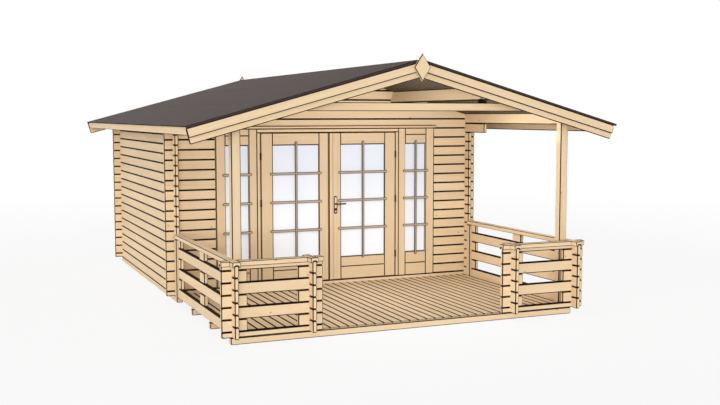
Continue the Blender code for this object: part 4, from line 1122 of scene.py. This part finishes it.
# ------------------------ meeting strip and hinges
# A planed strip on the right leaf covers the gap between the leaves. Each leaf hangs on three black
# steel hinges, whose knuckles turn on a pin between narrow plates on the leaf and on the frame.
STRIP_WIDTH = 0.053
STRIP_THICKNESS = 0.012
STRIP_EASE = 0.0085
HINGE_X = 0.915                         # the pins, from the middle
HINGE_OUT = 0.012                       # and before the leaf
HINGE_HEIGHTS = (0.4305, 1.1513, 1.7303)
KNUCKLE = (0.0075, 0.0270)              # radius and length
KNUCKLE_STEP = 0.0290
PIN_CAP = (0.007, 0.006)
PIN_CAP_STEP = 0.0455
PIN_CAP_EASE = 0.002
HINGE_PLATE = (0.0035, 0.0115)          # from the pin, sideways
HINGE_PLATE_HALF = 0.041
HINGE_PLATE_OUT = (0.0022, 0.0002)      # its face and its back, before the wood
HINGE_PLATE_EASE = 0.0006
BRUSH_STRETCH = (1.0, 1.0, 0.05)
BRUSH_SCALE = 900.0
BRUSH_DEPTH = 0.0003
CLOUD_SCALE = 40.0
low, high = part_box("right_door")
left = LEAF_EDGES["right_door"][0]
whole = bmesh.new()
block(whole, (left, LEAF_FACE - STRIP_THICKNESS, low.z), (left + STRIP_WIDTH, LEAF_FACE - SEAM, high.z),
      UPRIGHT, ease=STRIP_EASE)
wooden("right_door_cover_strip", whole, (), frame_z, body="right_door")


def metal(name, light, dark, metallic, low, high):
    """Metal with a fine upright brushing and a cloudy tone. low and high are its roughness."""
    finish, tree, place = new_finish(name)
    stretched = node(tree, "ShaderNodeMapping", {"Vector": place, "Scale": BRUSH_STRETCH}).outputs[0]
    brush = noise(tree, stretched, BRUSH_SCALE, 3.0)
    cloud = noise(tree, place, CLOUD_SCALE, 3.0)
    surface(tree, two_tone(tree, cloud, light, dark), ranged(tree, brush, low, high), brush, 0.15,
            BRUSH_DEPTH, Metallic=metallic)
    return finish


black_steel = metal("black_steel", (0.030, 0.026, 0.023), (0.014, 0.012, 0.011), 0.7, 0.34, 0.50)


def round_block(whole, radius, length, spot, turn=None, sides=24, ease=0.001, index=0):
    """A round bar or disc with eased rims, about its own Z axis, turned and then put on its spot."""
    bar = bmesh.new()
    bmesh.ops.create_cone(bar, cap_ends=True, segments=sides, radius1=radius, radius2=radius, depth=length)
    bevel(bar, [e for e in bar.edges if span(e, 2) < NEAR], ease, segments=2)
    paint(bar.faces, index)
    for face in bar.faces:
        face.smooth = abs(face.normal.z) < SQUARE_ON
    add(whole, bar, Matrix.Translation(spot) @ (turn or Matrix()))


for side, name in SIDE_NAMES:
    x, y = side * HINGE_X, LEAF_FACE - HINGE_OUT
    moving, fixed = bmesh.new(), bmesh.new()
    for z in HINGE_HEIGHTS:
        for step, owner in ((-KNUCKLE_STEP, moving), (0.0, fixed), (KNUCKLE_STEP, moving)):
            round_block(owner, *KNUCKLE, (x, y, z + step))
        for step in (-PIN_CAP_STEP, PIN_CAP_STEP):
            round_block(moving, *PIN_CAP, (x, y, z + step), ease=PIN_CAP_EASE)
        for inward, owner, face in ((-side, moving, LEAF_FACE), (side, fixed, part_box("door_frame")[0].y)):
            reach = sorted(x + inward * distance for distance in HINGE_PLATE)
            block(owner, (reach[0], face - HINGE_PLATE_OUT[0], z - HINGE_PLATE_HALF),
                  (reach[1], face - HINGE_PLATE_OUT[1], z + HINGE_PLATE_HALF), UPRIGHT,
                  ease=HINGE_PLATE_EASE)
    for owner, body, label in ((moving, f"{name}_door", "moving"), (fixed, "cabin", "fixed")):
        paint(owner.faces, 0)
        finished(f"{name}_door_hinges_{label}", owner, body, (), (black_steel,))

# ------------------------ door handle
# A bronze lever on each side of the right leaf, bent square from its neck, on one square spindle.
# The long plate behind it has round ends, a paler inlay outside, and a keyhole rose near its foot.
PLATE_MARGIN = 0.004
PLATE_ROUND = 0.0016
INNER_PLATE = (0.0003, 0.008)           # behind the leaf: back and face of the plate
INLAY_WIDTH = 0.025
INLAY_FOOT, INLAY_HEAD = 0.074, 0.014   # in from the foot and from the head of the plate
INLAY_OUT, INLAY_SUNK = 0.0016, 0.001
ROSE_HEIGHT = 0.030
ROSE = (0.0125, 0.0030)                 # radius and thickness
ROSE_OUT = 0.0012
KEYHOLE = (0.0046, 0.0030)
KEYHOLE_OUT = 0.0034
HUB = (0.0125, 0.006)
HUB_OUT = 0.0095                        # start of the lever's neck, from the leaf
HUB_STEP = 0.0035
LEVER_RADIUS = 0.0088
LEVER_TIP = 0.009                       # the arm's middle, in from the lever's outermost point
LEVER_EASE = 0.0035
BEND = 0.016
SPINDLE_RADIUS = 0.0045
SPINDLE_PAST = 0.01                     # past the leaf on each side
TO_Y = Matrix.Rotation(math.pi / 2, 4, "X")
BRONZE, BRASS = range(2)
dark_bronze = metal("dark_bronze", (0.085, 0.060, 0.040), (0.050, 0.034, 0.022), 0.75, 0.32, 0.46)
pale_brass = metal("pale_brass", (0.86, 0.74, 0.58), (0.78, 0.65, 0.48), 0.35, 0.38, 0.55)


def plate(whole, width, bottom, top, front, back, index):
    """A plate with round ends and softened rims."""
    bar = slab((middle_x - width / 2, front, bottom), (middle_x + width / 2, back, top))
    bevel(bar, [e for e in bar.edges if span(e, 1) > (back - front) / 2], width * ROUND_END, segments=6)
    bevel(bar, edges_at(bar, 1, front), PLATE_ROUND, segments=2)
    paint(bar.faces, index)
    add(whole, bar)


low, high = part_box("handle_plate")
middle_x = (low.x + high.x) / 2
whole = bmesh.new()
inner_back, inner_face = (LEAF_BACK + step for step in INNER_PLATE)
plate(whole, high.x - low.x - PLATE_MARGIN, low.z, high.z, low.y, high.y, BRONZE)
plate(whole, INLAY_WIDTH, low.z + INLAY_FOOT, high.z - INLAY_HEAD, low.y - INLAY_OUT, low.y + INLAY_SUNK,
      BRASS)
plate(whole, high.x - low.x - PLATE_MARGIN, low.z, high.z, inner_back, inner_face, BRONZE)
for outward, face in ((-1, low.y), (1, inner_face)):
    for size, proud, index in ((ROSE, ROSE_OUT, BRASS), (KEYHOLE, KEYHOLE_OUT, BRONZE)):
        round_block(whole, *size, (middle_x, face + outward * proud, low.z + ROSE_HEIGHT), TO_Y,
                    index=index)
finished("handle_long_plate", whole, "right_door", ("handle_plate",), (dark_bronze, pale_brass))

low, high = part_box("door_lever")
lever_z = (low.z + high.z) / 2
whole = bmesh.new()
for outward, tip_y, face in ((-1, low.y, LEAF_FACE), (1, high.y, LEAF_BACK)):
    neck = tip_y - outward * (LEVER_TIP + BEND)
    hub_y = face + outward * HUB_OUT
    round_block(whole, *HUB, (middle_x, hub_y + outward * HUB_STEP, lever_z), TO_Y)
    arm = bmesh.new()
    bmesh.ops.create_circle(arm, cap_ends=True, segments=20, radius=LEVER_RADIUS,
                            matrix=Matrix.Translation((middle_x, hub_y, lever_z)) @ TO_Y)
    far = extruded(arm, arm.faces[:], (0, neck - hub_y, 0))
    head = [f for f in arm.faces if all(v in far for v in f.verts)]
    turned = bmesh.ops.spin(arm, geom=head, cent=(middle_x + BEND, neck, lever_z), axis=(0, 0, 1),
                            angle=-outward * math.pi / 2, steps=6, use_merge=False)
    tip = [item for item in turned["geom_last"] if isinstance(item, bmesh.types.BMFace)]
    reach = high.x - max(v.co.x for f in tip for v in f.verts)
    extruded(arm, tip, (reach, 0, 0))
    bevel(arm, edges_at(arm, 0, high.x), LEVER_EASE, segments=3)
    bmesh.ops.recalc_face_normals(arm, faces=arm.faces)
    for face in arm.faces:
        face.smooth = True
    add(whole, arm)
round_block(whole, SPINDLE_RADIUS, LEAF_THICKNESS + 2 * SPINDLE_PAST,
            (middle_x, (LEAF_FACE + LEAF_BACK) / 2, lever_z), TO_Y, sides=4)
finished("door_lever_handle", whole, "door_lever", ("door_lever",), (dark_bronze,))
